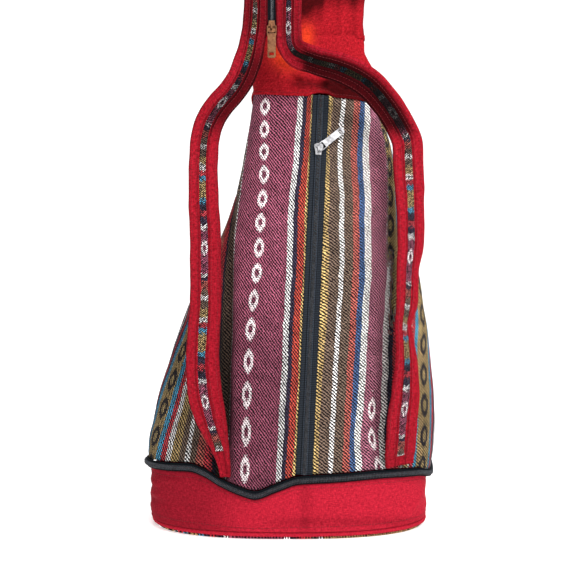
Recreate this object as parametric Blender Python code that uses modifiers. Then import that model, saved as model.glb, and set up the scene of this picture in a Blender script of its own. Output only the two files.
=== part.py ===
"""Sling backpack of striped woven cotton and red canvas, standing on its flat base.

Metres, +Z up, front towards -Y, origin at the middle of the base. Tables give places as
thousandths: X of BAG_WIDTH, Y of BAG_DEPTH and Z of BODY_HEIGHT.
"""
import math

import bmesh
import bpy
import numpy as np
from mathutils import Matrix, Vector

# Overall sizes
BAG_WIDTH = 0.308
BAG_DEPTH = 0.150
BODY_HEIGHT = 0.460
STRAP_TOP = 0.690

# Cloth, canvas and seams
CLOTH = 0.0020
CANVAS = 0.0022
STRAP_THICK = 0.0032
TRIM_WIDTH = 0.0085
TRIM_THICK = 0.0008
TRIM_LIFT = 0.0009
BASE_THICK = 0.0028
HEM_CORD = 0.0055
CLEAR = 0.0004
SEAM_GAP = 0.0012
CREASE_DEPTH = 0.0070

# Zips
FRONT_SLOT = 0.0166
STRAP_SLOT = 0.0076
BASE_TAPES = 0.0088
COIL_GAP = 0.0012
COIL_WIDTH = 0.0017
COIL_HEIGHT = 0.0014
TAPE_THICK = 0.0008
PULL_LENGTH = 0.0330
STRAP_PULL_LENGTH = 0.0322
PULL_WIDTH = 0.0086
STRAP_PULL_WIDTH = 0.0098
PULL_THICK = 0.0010

FRONT_POWER = 2.4
BACK_POWER = 2.6
BACK_FLAT = 1.035

# Height, left edge, right edge, front, back
BODY = (
    (0, -477, 474, -480, 480), (43, -487, 477, -500, 500), (109, -492, 487, -513, 500),
    (143, -500, 500, -513, 500), (187, -498, 510, -501, 490), (235, -484, 513, -483, 473),
    (307, -463, 506, -460, 447), (378, -429, 497, -436, 420), (450, -393, 486, -413, 393),
    (517, -354, 472, -391, 367), (570, -312, 461, -373, 347), (665, -248, 425, -342, 313),
    (761, -196, 393, -311, 280), (880, -161, 360, -271, 240), (957, -141, 326, -247, 213),
    (1004, -131, 310, -220, 187), (1043, -131, 320, -160, 133), (1083, -126, 287, -83, 73),
    (1120, -108, 270, -43, 43), (1154, -92, 269, -30, 30),
)
# Front line of the base zip: across, height
LIP = (
    (-500, 146), (-416, 150), (-328, 154), (-279, 145), (-227, 126), (-162, 108), (-114, 100),
    (-49, 115), (32, 133), (162, 137), (295, 141), (416, 137), (474, 126), (500, 119),
)
LIP_BACK = 139
# Seam between cloth and yoke: across, height
SEAM = ((-147, 1017), (-96, 1006), (0, 997), (137, 992), (239, 988), (301, 978))
# Crease in the cloth beside the left strap: height, across, share of its depth
CREASE = ((150, -220, 0), (200, -222, 600), (300, -217, 1000), (520, -214, 1000),
          (660, -212, 700), (760, -190, 0))
# Left strap: across, height, depth, width in mm, turn in degrees
LEFT_STRAP = (
    (-112, 1387, -433, 24, 0), (-112, 1284, -433, 24, 0), (-112, 1184, -433, 24, 0),
    (-115, 1136, -433, 25, 0), (-126, 1085, -440, 26, 5), (-141, 1047, -447, 28, 12),
    (-165, 1009, -453, 28, 22), (-196, 978, -460, 29, 30), (-229, 952, -467, 29, 28),
    (-256, 924, -473, 29, 25), (-272, 895, -480, 29, 18), (-280, 857, -493, 29, 12),
    (-282, 811, -507, 29, 10), (-280, 741, -520, 30, 8), (-272, 653, -540, 31, 0),
    (-271, 524, -560, 31, 0), (-277, 449, -567, 32, 0), (-280, 391, -567, 33, 0),
    (-274, 331, -567, 34, 0), (-260, 286, -560, 33, -5), (-242, 244, -550, 28, -12),
    (-224, 205, -535, 20, -16), (-212, 164, -515, 13, -12), (-208, 141, -501, 11, -9),
)
# Right strap: across, height, depth, width in mm, side direction
RIGHT_STRAP = (
    (-3, 1387, -433, 26, (1, 0, 0)), (-3, 1284, -433, 26, (1, 0, 0)),
    (-3, 1184, -433, 26, (1, 0, 0)), (-5, 1136, -433, 26, (1, 0, 0)),
    (-3, 1099, -447, 27, (0.97, -0.1, 0.2)), (18, 1064, -500, 28, (0.6, -0.45, 0.66)),
    (76, 1042, -560, 29, (0.2, -0.66, 0.72)), (154, 1026, -565, 30, (0.15, -0.6, 0.78)),
    (244, 1000, -520, 30, (0.42, -0.5, 0.76)), (318, 957, -440, 30, (0.8, -0.32, 0.5)),
    (364, 912, -405, 30, (0.95, -0.2, 0.24)), (390, 864, -413, 31, (1, -0.1, 0.05)),
    (391, 796, -440, 31, (1, 0, 0)), (392, 721, -467, 31, (1, 0.3, 0)),
    (391, 655, -487, 31, (1, 0.4, 0)), (379, 587, -507, 31, (0.8, 0.6, 0)),
    (375, 522, -520, 31, (0.78, 0.62, 0)), (363, 470, -527, 31, (0.62, 0.78, 0)),
    (368, 431, -527, 31, (0.68, 0.72, 0)), (372, 385, -525, 32, (0.8, 0.6, 0)),
    (371, 322, -522, 33, (0.9, 0.42, 0)), (360, 252, -520, 34, (0.95, 0.3, 0)),
    (358, 200, -482, 34, (0.94, 0.34, 0)), (359, 176, -432, 33, (0.92, 0.4, 0)),
    (359, 160, -418, 33, (0.92, 0.4, 0)),
)
# Wide strap from the yoke to the loop: across, height, depth, width in thousandths of BAG_WIDTH
RISE = ((89, 1154, 0, 348), (89, 1170, 0, 344), (122, 1216, 0, 286), (153, 1262, 0, 232),
        (153, 1330, 0, 232))

MATERIALS = {
    "red_canvas": ((0.33, 0.012, 0.030), 0.85, 0.0),
    "woven_cotton": ((0.11, 0.024, 0.050), 0.90, 0.0),
    "woven_trim": ((0.20, 0.050, 0.040), 0.90, 0.0),
    "black_tape": ((0.012, 0.012, 0.014), 0.80, 0.0),
    "black_coil": ((0.030, 0.030, 0.034), 0.45, 0.0),
    "silver_metal": ((0.60, 0.60, 0.62), 0.28, 1.0),
    "old_brass": ((0.42, 0.24, 0.10), 0.35, 1.0),
}

for item in list(bpy.data.objects):
    bpy.data.objects.remove(item, do_unlink=True)
for group in list(bpy.data.collections):
    bpy.data.collections.remove(group)

scene = bpy.context.scene
parts = bpy.data.collections.new("sling_backpack")
guides = bpy.data.collections.new("guides")
scene.collection.children.link(parts)
scene.collection.children.link(guides)


def material(name):
    found = bpy.data.materials.get(name)
    if found:
        return found
    colour, rough, metal = MATERIALS[name]
    made = bpy.data.materials.new(name)
    made.use_nodes = True
    shader = made.node_tree.nodes["Principled BSDF"]
    shader.inputs["Base Color"].default_value = (*colour, 1.0)
    shader.inputs["Roughness"].default_value = rough
    shader.inputs["Metallic"].default_value = metal
    made.diffuse_color = (*colour, 1.0)
    return made


def wx(v):
    return v / 1000.0 * BAG_WIDTH


def dy(v):
    return v / 1000.0 * BAG_DEPTH


def hz(v):
    return v / 1000.0 * BODY_HEIGHT


def smooth(table, column, at):
    """Cubic through one column of a table whose first column rises."""
    keys = [row[0] for row in table]
    vals = [row[column] for row in table]
    if at <= keys[0]:
        return vals[0]
    if at >= keys[-1]:
        return vals[-1]
    i = max(k for k in range(len(keys) - 1) if keys[k] <= at)
    step = keys[i + 1] - keys[i]
    rise = (vals[i + 1] - vals[i]) / step

    def slope(j):
        if j == 0 or j == len(keys) - 1:
            return rise
        low = (vals[j] - vals[j - 1]) / (keys[j] - keys[j - 1])
        high = (vals[j + 1] - vals[j]) / (keys[j + 1] - keys[j])
        return 0.0 if low * high <= 0 else 2.0 * low * high / (low + high)

    u = (at - keys[i]) / step
    return ((2 * u ** 3 - 3 * u ** 2 + 1) * vals[i] + (u ** 3 - 2 * u ** 2 + u) * step * slope(i)
            + (3 * u ** 2 - 2 * u ** 3) * vals[i + 1] + (u ** 3 - u ** 2) * step * slope(i + 1))


def lip_height(x, y):
    """Height of the base zip line at a place on the outline."""
    front = hz(smooth(LIP, 1, 1000.0 * x / BAG_WIDTH))
    back = hz(LIP_BACK)
    share = min(1.0, max(0.0, 0.5 - y / dy(300)))
    share = share * share * (3 - 2 * share)
    return front * share + back * (1 - share)


def seam_height(x, y):
    front = hz(smooth(SEAM, 1, 1000.0 * x / BAG_WIDTH))
    share = min(1.0, max(0.0, 0.5 - y / dy(120)))
    return front * share + hz(997) * (1 - share)


def outline(z, steps=360):
    """Closed outline at one height, from the front middle round by the left."""
    h = 1000.0 * z / BODY_HEIGHT
    left, right = wx(smooth(BODY, 1, h)), wx(smooth(BODY, 2, h))
    front, back = dy(smooth(BODY, 3, h)), dy(smooth(BODY, 4, h))
    mid, half = (left + right) / 2, (right - left) / 2
    turn = 2 * math.pi * np.arange(steps) / steps
    s, c = np.sin(turn), np.cos(turn)
    power = np.where(c >= 0, FRONT_POWER, BACK_POWER)
    x = mid - half * np.sign(s) * np.abs(s) ** (2 / power)
    depth = np.abs(c) ** (2 / power)
    y = np.where(c >= 0, front * depth, back * np.minimum(1.0, BACK_FLAT * depth))
    across = wx(smooth(CREASE, 1, h))
    fold = CREASE_DEPTH * smooth(CREASE, 2, h) / 1000.0
    if CREASE[0][0] < h < CREASE[-1][0]:
        pull = np.exp(-((x - across) / wx(24)) ** 2) * (y < 0)
        y = y + fold * pull
    return np.stack([x, y], axis=1)


def along(line):
    closed = np.vstack([line, line[:1]])
    run = np.concatenate([[0], np.cumsum(np.linalg.norm(np.diff(closed, axis=0), axis=1))])
    return closed, run


def station(line, spot):
    """Distance along the outline at which it passes a given x on the front or back."""
    side, x = spot
    closed, run = along(line)
    for i in range(len(closed) - 1):
        a, b = closed[i], closed[i + 1]
        front = (a[1] + b[1]) / 2 < 0
        if front != (side == "front"):
            continue
        if (a[0] - x) * (b[0] - x) <= 0 and abs(a[0] - b[0]) > 1e-9:
            return run[i] + (run[i + 1] - run[i]) * (x - a[0]) / (b[0] - a[0])
    best = min(range(len(line)), key=lambda k: abs(line[k][0] - x))
    return run[best]


def point(z, start, end, share):
    line = outline(z)
    closed, run = along(line)
    total = run[-1]
    a = station(line, start(z))
    b = station(line, end(z))
    while b <= a:
        b += total
    at = (a + (b - a) * share) % total
    return Vector((float(np.interp(at, run, closed[:, 0])),
                   float(np.interp(at, run, closed[:, 1])), z))


def keep(name, obj, colour, origin=None):
    obj.name = name
    obj.data.name = name
    obj.data.materials.clear()
    obj.data.materials.append(material(colour))
    parts.objects.link(obj)
    if origin is not None:
        obj.matrix_world = origin
    return obj


def mesh_object(name, verts, faces):
    data = bpy.data.meshes.new(name)
    data.from_pydata([tuple(v) for v in verts], [], faces)
    data.update()
    solid = bmesh.new()
    solid.from_mesh(data)
    bmesh.ops.recalc_face_normals(solid, faces=solid.faces)
    solid.to_mesh(data)
    solid.free()
    return bpy.data.objects.new(name, data)


def shell(name, colour, start, end, low, high, columns, rows, thick):
    """Cloth between two upright edges and two heights, thickened inwards."""
    grid = []
    for i in range(columns + 1):
        share = i / columns
        foot = point(hz(160), start, end, share)
        top = point(hz(990), start, end, share)
        z0, z1 = low(foot.x, foot.y), high(top.x, top.y)
        grid.append([point(z0 + (z1 - z0) * j / rows, start, end, share)
                     for j in range(rows + 1)])
    verts = [v for column in grid for v in column]
    step = rows + 1
    faces = [(i * step + j, i * step + j + 1, (i + 1) * step + j + 1, (i + 1) * step + j)
             for i in range(columns) for j in range(rows)]
    data = bpy.data.meshes.new(name)
    data.from_pydata([tuple(v) for v in verts], [], faces)
    data.update()
    obj = keep(name, bpy.data.objects.new(name, data), colour)
    lift = obj.modifiers.new("thickness", "SOLIDIFY")
    lift.thickness = thick
    lift.offset = -1.0
    lift.use_even_offset = True
    lift.use_quality_normals = True
    return obj


def frame_list(stations, count):
    """Even frames along a smooth path: centre, side, normal, width."""
    centres = [Vector(s[0]) for s in stations]
    run = [0.0]
    for a, b in zip(centres, centres[1:]):
        run.append(run[-1] + (b - a).length)
    columns = [[r, c.x, c.y, c.z, *Vector(s[1]).normalized(), s[2]]
               for r, c, s in zip(run, centres, stations)]
    frames = []
    for k in range(count + 1):
        at = run[-1] * k / count
        row = [smooth(columns, n, at) for n in range(1, 8)]
        frames.append([Vector(row[0:3]), Vector(row[3:6]), row[6]])
    result = []
    for k, (centre, side, width) in enumerate(frames):
        before = frames[max(0, k - 1)][0]
        after = frames[min(count, k + 1)][0]
        ahead = (after - before).normalized()
        side = (side - ahead * side.dot(ahead)).normalized()
        result.append((centre, side, ahead.cross(side).normalized(), width))
    return result


def ribbon(name, colour, frames, section):
    """Flat band along frames. section(width) gives the outline as (side, normal) pairs."""
    verts, faces = [], []
    for centre, side, normal, width in frames:
        for s, n in section(width):
            verts.append(centre + side * s + normal * n)
    size = len(section(frames[0][3]))
    for k in range(len(frames) - 1):
        for i in range(size):
            j = (i + 1) % size
            faces.append((k * size + i, k * size + j, (k + 1) * size + j, (k + 1) * size + i))
    faces.append(tuple(range(size)))
    faces.append(tuple((len(frames) - 1) * size + i for i in range(size)))
    return keep(name, mesh_object(name, verts, faces), colour)


def flat(thick, edge=0.0008, seat=None):
    """Band section with softened edges, its back face on the path."""
    def section(width):
        half = width / 2
        mid = () if seat is None else tuple(
            (width * seat + side * TRIM_WIDTH / 2, thick) for side in (1, -1))
        low = () if seat is None else tuple(
            (width * seat + side * TRIM_WIDTH / 2, 0) for side in (-1, 1))
        return ((-half, edge), (-half + edge, 0), *low, (half - edge, 0), (half, edge),
                (half, thick - edge), (half - edge, thick), *mid, (-half + edge, thick),
                (-half, thick - edge))
    return section


def box_band(low_s, high_s, low_n, high_n):
    def section(width):
        return ((low_s, low_n), (high_s, low_n), (high_s, high_n), (low_s, high_n))
    return section


def ring(name, colour, height, section, out=0.0, count=56):
    """Closed band round the bag. section gives (outwards, upwards) pairs."""
    base = outline(hz(130), 1440)
    closed, run = along(base)
    marks = [run[-1] * k / count for k in range(count)]
    places = []
    for at in marks:
        x = float(np.interp(at, run, closed[:, 0]))
        y = float(np.interp(at, run, closed[:, 1]))
        places.append((x, y, height(x, y)))
    verts, faces = [], []
    for k, (x, y, z) in enumerate(places):
        near = outline(z, 1440)
        closed_z, run_z = along(near)
        at = marks[k] / run[-1] * run_z[-1]
        here = np.array([np.interp(at, run_z, closed_z[:, 0]), np.interp(at, run_z, closed_z[:, 1])])
        nxt = (at + 0.002) % run_z[-1]
        prv = (at - 0.002) % run_z[-1]
        a = np.array([np.interp(prv, run_z, closed_z[:, 0]), np.interp(prv, run_z, closed_z[:, 1])])
        b = np.array([np.interp(nxt, run_z, closed_z[:, 0]), np.interp(nxt, run_z, closed_z[:, 1])])
        way = (b - a) / np.linalg.norm(b - a)
        outward = np.array([way[1], -way[0]])
        if np.dot(outward, here - np.array([wx(5), 0])) < 0:
            outward = -outward
        for o, u in section(x, y, z):
            spot = here + outward * (o + out)
            verts.append((float(spot[0]), float(spot[1]), z + u))
    size = len(section(0, 0, 0.05))
    for k in range(count):
        m = (k + 1) % count
        for i in range(size):
            j = (i + 1) % size
            faces.append((k * size + i, k * size + j, m * size + j, m * size + i))
    return keep(name, mesh_object(name, verts, faces), colour)


def disc(name, colour, z, thick, inset, count=56):
    """Flat panel that fills the outline at one height."""
    line = outline(z, 1440)
    closed, run = along(line)
    shape = bpy.data.curves.new(name, "CURVE")
    shape.dimensions = "2D"
    shape.fill_mode = "BOTH"
    shape.extrude = thick / 2
    spline = shape.splines.new("POLY")
    spline.points.add(count - 1)
    mid = line.mean(axis=0)
    for k in range(count):
        at = run[-1] * k / count
        x = float(np.interp(at, run, closed[:, 0])) - mid[0]
        y = float(np.interp(at, run, closed[:, 1])) - mid[1]
        grow = 1 - inset / math.hypot(x, y)
        spline.points[k].co = (x * grow + mid[0], y * grow + mid[1], 0, 1)
    spline.use_cyclic_u = True
    obj = from_curve(name, shape)
    obj.data.transform(Matrix.Translation((0, 0, z + thick / 2)))
    return keep(name, obj, colour)


def from_curve(name, shape):
    """Turn a filled curve into a welded mesh."""
    holder = bpy.data.objects.new(name + "_curve", shape)
    scene.collection.objects.link(holder)
    bpy.context.view_layer.update()
    ready = holder.evaluated_get(bpy.context.evaluated_depsgraph_get())
    data = bpy.data.meshes.new_from_object(ready)
    bpy.data.objects.remove(holder, do_unlink=True)
    solid = bmesh.new()
    solid.from_mesh(data)
    bmesh.ops.remove_doubles(solid, verts=solid.verts, dist=0.00001)
    bmesh.ops.recalc_face_normals(solid, faces=solid.faces)
    solid.to_mesh(data)
    solid.free()
    return bpy.data.objects.new(name, data)


def plate(name, outer, holes, thick, bevel=0.0):
    """Flat plate in local X and Y with its middle plane at zero."""
    shape = bpy.data.curves.new(name, "CURVE")
    shape.dimensions = "2D"
    shape.fill_mode = "BOTH"
    shape.extrude = thick / 2 - bevel
    shape.bevel_depth = bevel
    shape.bevel_resolution = 0
    shape.offset = -bevel
    for loop in (outer, *holes):
        spline = shape.splines.new("POLY")
        spline.points.add(len(loop) - 1)
        for k, (x, y) in enumerate(loop):
            spline.points[k].co = (x, y, 0, 1)
        spline.use_cyclic_u = True
    return from_curve(name, shape)


def block(name, low, high):
    size = [h - l for l, h in zip(low, high)]
    mid = [(l + h) / 2 for l, h in zip(low, high)]
    data = bpy.data.meshes.new(name)
    solid = bmesh.new()
    bmesh.ops.create_cube(solid, size=1.0)
    bmesh.ops.scale(solid, verts=solid.verts, vec=size)
    bmesh.ops.translate(solid, verts=solid.verts, vec=mid)
    solid.to_mesh(data)
    solid.free()
    return bpy.data.objects.new(name, data)


def join_with(target, others, place):
    for k, other in enumerate(others):
        guides.objects.link(other)
        other.matrix_world = place
        other.hide_render = True
        other.display_type = "WIRE"
        add = target.modifiers.new("join_%d" % k, "BOOLEAN")
        add.operation = "UNION"
        add.solver = "EXACT"
        add.object = other


def box_frame(origin, across, up, out):
    place = Matrix((across, up, out)).transposed().to_4x4()
    place.translation = origin
    return place


SLIDER_HALF_T = 0.0062
BRIDGE_HALF_T = 0.0028
BRIDGE_HALF_C = 0.0008
PIVOT = 0.0012


def slider(name, colour, place, top, bottom, wide, narrow):
    """Zip slider: local X across, Y along towards the open end, Z out of the cloth.

    top is the height of the top plate's lower face, bottom that of the lower plate's upper face.
    """
    def heart(half):
        t = SLIDER_HALF_T
        return ((-half * 0.62, -t), (half * 0.62, -t), (half * 0.78, -t * 0.2), (half, t * 0.35),
                (half, t * 0.75), (half * 0.45, t), (-half * 0.45, t), (-half, t * 0.75),
                (-half, t * 0.35), (-half * 0.78, -t * 0.2))
    body = plate(name, heart(wide), (), 0.0010, 0.0002)
    body.data.transform(Matrix.Translation((0, 0, top + 0.0005)))
    lower = plate(name + "_lower", heart(narrow), (), 0.0009, 0.0002)
    lower.data.transform(Matrix.Translation((0, 0, bottom - 0.00045)))
    half_post = COIL_GAP / 2 - 0.0003
    post = block(name + "_post", (-half_post, SLIDER_HALF_T - 0.0045, bottom - 0.0006),
                 (half_post, SLIDER_HALF_T - 0.0008, top + 0.0007))
    t, w = BRIDGE_HALF_T, 0.0008
    arch_low, arch_in, arch_top = top + 0.0008, top + 0.0010 + 0.0022, top + 0.0010 + 0.0030
    arch = plate(name + "_arch", ((-t, arch_low), (-t, arch_top - 0.0006), (-t + 0.0006, arch_top),
                                  (t - 0.0006, arch_top), (t, arch_top - 0.0006), (t, arch_low),
                                  (t - w, arch_low), (t - w, arch_in), (-t + w, arch_in),
                                  (-t + w, arch_low)), (), 2 * BRIDGE_HALF_C)
    arch.data.transform(Matrix(((0, 0, 1, 0), (1, 0, 0, 0), (0, 1, 0, 0), (0, 0, 0, 1))))
    obj = keep(name, body, colour, place)
    join_with(obj, (lower, post, arch), place)
    return obj


def pull(name, colour, place, length, wide, dip):
    """Zip pull: local X is its hinge axis, Y points along it, Z out of the cloth."""
    half, bar = wide / 2, 0.00042
    outer = ((-half, -bar + 0.0004), (-half + 0.0006, -bar), (half - 0.0006, -bar),
             (half, -bar + 0.0004), (half, 0.0075), (half * 0.86, 0.0105), (half * 0.86, length - 0.0015),
             (half * 0.55, length), (-half * 0.55, length), (-half * 0.86, length - 0.0015),
             (-half * 0.86, 0.0105), (-half, 0.0075))
    inner = half - 0.0010
    window = ((-inner, bar), (inner, bar), (inner, 0.0072), (-inner, 0.0072))
    slot = ((-half * 0.45, length - 0.0055), (half * 0.45, length - 0.0055),
            (half * 0.45, length - 0.0028), (-half * 0.45, length - 0.0028))
    body = plate(name, outer, (window, slot), PULL_THICK, 0.00015)
    body.data.transform(Matrix.Rotation(math.radians(-dip), 4, "X"))
    return keep(name, body, colour, place)


# Front zip line, straight from the base seam to the yoke seam
ZIP_LOW = Vector((wx(45), dy(-516), hz(139)))
ZIP_HIGH = Vector((wx(106), dy(-236), hz(993)))
ZIP_UP = (ZIP_HIGH - ZIP_LOW).normalized()
ZIP_OUT = Vector((0, -1, 0))
ZIP_OUT = (ZIP_OUT - ZIP_UP * ZIP_OUT.dot(ZIP_UP)).normalized()
ZIP_ACROSS = ZIP_UP.cross(ZIP_OUT).normalized()
ZIP_RISE = 0.0004


def zip_x(z):
    return ZIP_LOW.x + (ZIP_HIGH.x - ZIP_LOW.x) * (z - ZIP_LOW.z) / (ZIP_HIGH.z - ZIP_LOW.z)


def slot_left(z):
    return ("front", zip_x(z) - FRONT_SLOT / 2)


def slot_right(z):
    return ("front", zip_x(z) + FRONT_SLOT / 2)


def back_left(z):
    line = outline(z, 120)
    low, high = line[:, 0].min(), line[:, 0].max()
    return ("back", low + (high - low) * 0.17)


def back_right(z):
    line = outline(z, 120)
    low, high = line[:, 0].min(), line[:, 0].max()
    return ("back", low + (high - low) * 0.83)


def shifted(edge, by):
    def moved(z):
        side, x = edge(z)
        return (side, x + by)
    return moved


TAPE_HALF = BASE_TAPES / 2


def cloth_low(x, y):
    return lip_height(x, y) + TAPE_HALF + SEAM_GAP


def cloth_high(x, y):
    return seam_height(x, y) - CLEAR


shell("cloth_left", "woven_cotton", slot_left, shifted(back_left, -CLEAR), cloth_low, cloth_high,
      22, 15, CLOTH)
shell("cloth_right", "woven_cotton", shifted(back_right, CLEAR), slot_right, cloth_low, cloth_high,
      18, 15, CLOTH)
shell("cloth_back", "woven_cotton", shifted(back_left, CLEAR), shifted(back_right, -CLEAR),
      cloth_low, cloth_high, 10, 12, CLOTH)


def yoke_left(z):
    line = outline(z, 120)
    return ("front", line[:, 0].min() + 0.0001)


def yoke_right(z):
    line = outline(z, 120)
    return ("front", line[:, 0].max() - 0.0001)


def yoke_low(x, y):
    return seam_height(x, y) + SEAM_GAP


def yoke_top(x, y):
    return hz(1152)


def yoke_place(front, z, turn):
    h = 1000.0 * z / BODY_HEIGHT
    left, right = wx(smooth(BODY, 1, h)), wx(smooth(BODY, 2, h))
    deep = dy(smooth(BODY, 3 if front else 4, h))
    power = FRONT_POWER if front else BACK_POWER
    c, s = math.cos(turn), math.sin(turn)
    x = (left + right) / 2 - (right - left) / 2 * math.copysign(abs(c) ** (2 / power), c)
    return Vector((x, deep * abs(s) ** (2 / power), z))


def yoke(name, front):
    """Half of the canvas top, from the cloth seam up to the wide strap."""
    columns, rows = 12, 7
    grid = []
    for i in range(columns + 1):
        column = []
        for j in range(rows + 1):
            level = j / rows
            rim = 0.02 + 0.08 * level ** 2
            turn = math.pi * (rim + (1 - 2 * rim) * i / columns)
            foot = yoke_place(front, hz(997), turn)
            z = yoke_low(foot.x, foot.y)
            z += (yoke_top(0, 0) - z) * level
            column.append(yoke_place(front, z, turn))
        grid.append(column)
    step = rows + 1
    verts = [v for column in grid for v in column]
    faces = []
    for i in range(columns):
        for j in range(rows):
            quad = (i * step + j, i * step + j + 1, (i + 1) * step + j + 1, (i + 1) * step + j)
            faces.append(quad[::-1] if front else quad)
    data = bpy.data.meshes.new(name)
    data.from_pydata([tuple(v) for v in verts], [], faces)
    data.update()
    obj = keep(name, bpy.data.objects.new(name, data), "red_canvas")
    lift = obj.modifiers.new("thickness", "SOLIDIFY")
    lift.thickness = CANVAS * 0.7
    lift.offset = -1.0
    lift.use_even_offset = True
    return obj


yoke("yoke_front", True)
yoke("yoke_back", False)

# Base: woven panel, hem cord, canvas band and the zip above it
disc("base_panel", "woven_cotton", 0.0, BASE_THICK, 0.0018)
HEM_Z = BASE_THICK + CLEAR + HEM_CORD / 2


def hem_section(x, y, z):
    r = HEM_CORD / 2
    return [(r * math.cos(a) - 0.0008, r * math.sin(a))
            for a in (math.pi / 3 * k for k in range(6))]


ring("base_hem", "red_canvas", lambda x, y: HEM_Z, hem_section)
BAND_LOW = HEM_Z + HEM_CORD / 2 + CLEAR


def band_section(x, y, z):
    low = BAND_LOW - z
    high = lip_height(x, y) - TAPE_HALF - CLEAR / 2 - z
    mid = (low + high) / 2
    return ((0, low), (0.0006, mid), (0.0004, high), (-CANVAS + 0.0004, high),
            (-CANVAS + 0.0006, mid), (-CANVAS, low))


ring("base_band", "red_canvas", lambda x, y: (BAND_LOW + lip_height(x, y) - TAPE_HALF) / 2,
     band_section)
COIL_IN = COIL_GAP / 2
COIL_OUT = COIL_IN + COIL_WIDTH
TAPE_OUT = 0.0010
for label, sign in (("lower", -1), ("upper", 1)):
    a, b = sign * (COIL_IN + 0.0003), sign * (TAPE_HALF - CLEAR)
    lo, hi = min(a, b), max(a, b)

    def tape_section(x, y, z, lo=lo, hi=hi):
        return ((0, lo), (TAPE_THICK, lo), (TAPE_THICK, hi), (0, hi))

    ring("base_tape_" + label, "black_tape", lip_height, tape_section, out=TAPE_OUT)
    a, b = sign * COIL_IN, sign * COIL_OUT
    lo, hi = min(a, b), max(a, b)

    def coil_section(x, y, z, lo=lo, hi=hi):
        base, cap = TAPE_THICK + 0.0003, TAPE_THICK + 0.0003 + COIL_HEIGHT
        return ((base, lo), (cap, lo), (cap, hi), (base, hi))

    ring("base_coil_" + label, "black_coil", lip_height, coil_section, out=TAPE_OUT)

disc("compartment_floor", "woven_cotton", hz(LIP_BACK) + 0.014, 0.0016, 0.0052)


def straight(name, colour, low, high, out_way, across, band):
    """Straight strip between two points of a zip line."""
    frames = [(low, across, out_way, 0.0), (high, across, out_way, 0.0)]
    return ribbon(name, colour, frames, band)


zip_from = ZIP_LOW + ZIP_UP * (TAPE_HALF + 0.0015) + ZIP_OUT * ZIP_RISE
zip_to = ZIP_HIGH - ZIP_UP * 0.0012 + ZIP_OUT * ZIP_RISE
COIL_BASE = 0.0003
for label, sign in (("left", -1), ("right", 1)):
    a, b = sign * (COIL_IN + 0.0003), sign * (FRONT_SLOT / 2 - CLEAR)
    straight("front_tape_" + label, "black_tape", zip_from, zip_to, ZIP_OUT, ZIP_ACROSS,
             box_band(min(a, b), max(a, b), -TAPE_THICK, 0))
    a, b = sign * COIL_IN, sign * COIL_OUT
    lo, hi = min(a, b), max(a, b)
    e = 0.0004

    def coil_band(width, lo=lo, hi=hi):
        cap = COIL_BASE + COIL_HEIGHT
        return ((lo, COIL_BASE), (hi, COIL_BASE), (hi, cap - e), (hi - e, cap), (lo + e, cap),
                (lo, cap - e))

    straight("front_coil_" + label, "black_coil", zip_from, zip_to, ZIP_OUT, ZIP_ACROSS, coil_band)

FRONT_TOP = COIL_BASE + COIL_HEIGHT + 0.0003
FRONT_BOTTOM = -TAPE_THICK - 0.0004
slide_at = ZIP_LOW + ZIP_UP * ((hz(864) - ZIP_LOW.z) / ZIP_UP.z) + ZIP_OUT * ZIP_RISE
place = box_frame(slide_at, ZIP_ACROSS, ZIP_UP, ZIP_OUT)
slider("front_slider", "silver_metal", place, FRONT_TOP, FRONT_BOTTOM, 0.0048, 0.0042)
lean = math.radians(48)
way = (ZIP_ACROSS * math.sin(lean) + ZIP_UP * math.cos(lean)).normalized()
hinge = way.cross(ZIP_OUT).normalized()
pivot = slide_at + ZIP_OUT * (FRONT_TOP + 0.0010 + PIVOT)
pull("front_pull", "silver_metal", box_frame(pivot, hinge, way, ZIP_OUT), PULL_LENGTH,
     PULL_WIDTH, 2.0)

# Wide strap, its loop and the two halves with their zip
SPLIT_X = wx(-60)
FRONT_Y = dy(-433)
SPLIT_Z = STRAP_TOP + FRONT_Y / 2
side = Vector((1, 0, 0))
wide = [((wx(r[0]), dy(r[2]) - STRAP_THICK / 2, hz(r[1])), side, wx(r[3])) for r in RISE]
start_x, end_x = wx(153), SPLIT_X
start_w, end_w = wx(232), 0.0600
radius = abs(FRONT_Y + STRAP_THICK / 2 - (-STRAP_THICK / 2)) / 2
for k in range(0, 9):
    turn = math.pi * k / 8
    share = k / 8
    wide.append(((start_x + (end_x - start_x) * share,
                  -STRAP_THICK / 2 - radius + radius * math.cos(turn),
                  SPLIT_Z + radius * math.sin(turn)), side, start_w + (end_w - start_w) * share))
wide.append(((end_x, FRONT_Y + STRAP_THICK / 2, SPLIT_Z - 0.012), side, end_w))
ribbon("strap_wide", "red_canvas", frame_list(wide, 40), flat(STRAP_THICK, 0.0008))

half_top = SPLIT_Z - 0.012 - 0.0006


def strap_rows(table, turned):
    rows = []
    for k, row in enumerate(table):
        z = hz(row[1]) if k else half_top
        if k and z > half_top - 0.01:
            continue
        if turned:
            angle = math.radians(row[4])
            way_side = (math.cos(angle), math.sin(angle), 0)
        else:
            way_side = row[4]
        rows.append(((wx(row[0]), dy(row[2]) + STRAP_THICK / 2, z), way_side, row[3] / 1000.0))
    return rows


left_frames = frame_list(strap_rows(LEFT_STRAP, True), 42)
right_frames = frame_list(strap_rows(RIGHT_STRAP, False), 48)
LEFT_SEAT = -0.03
RIGHT_SEAT = 0.0


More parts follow.
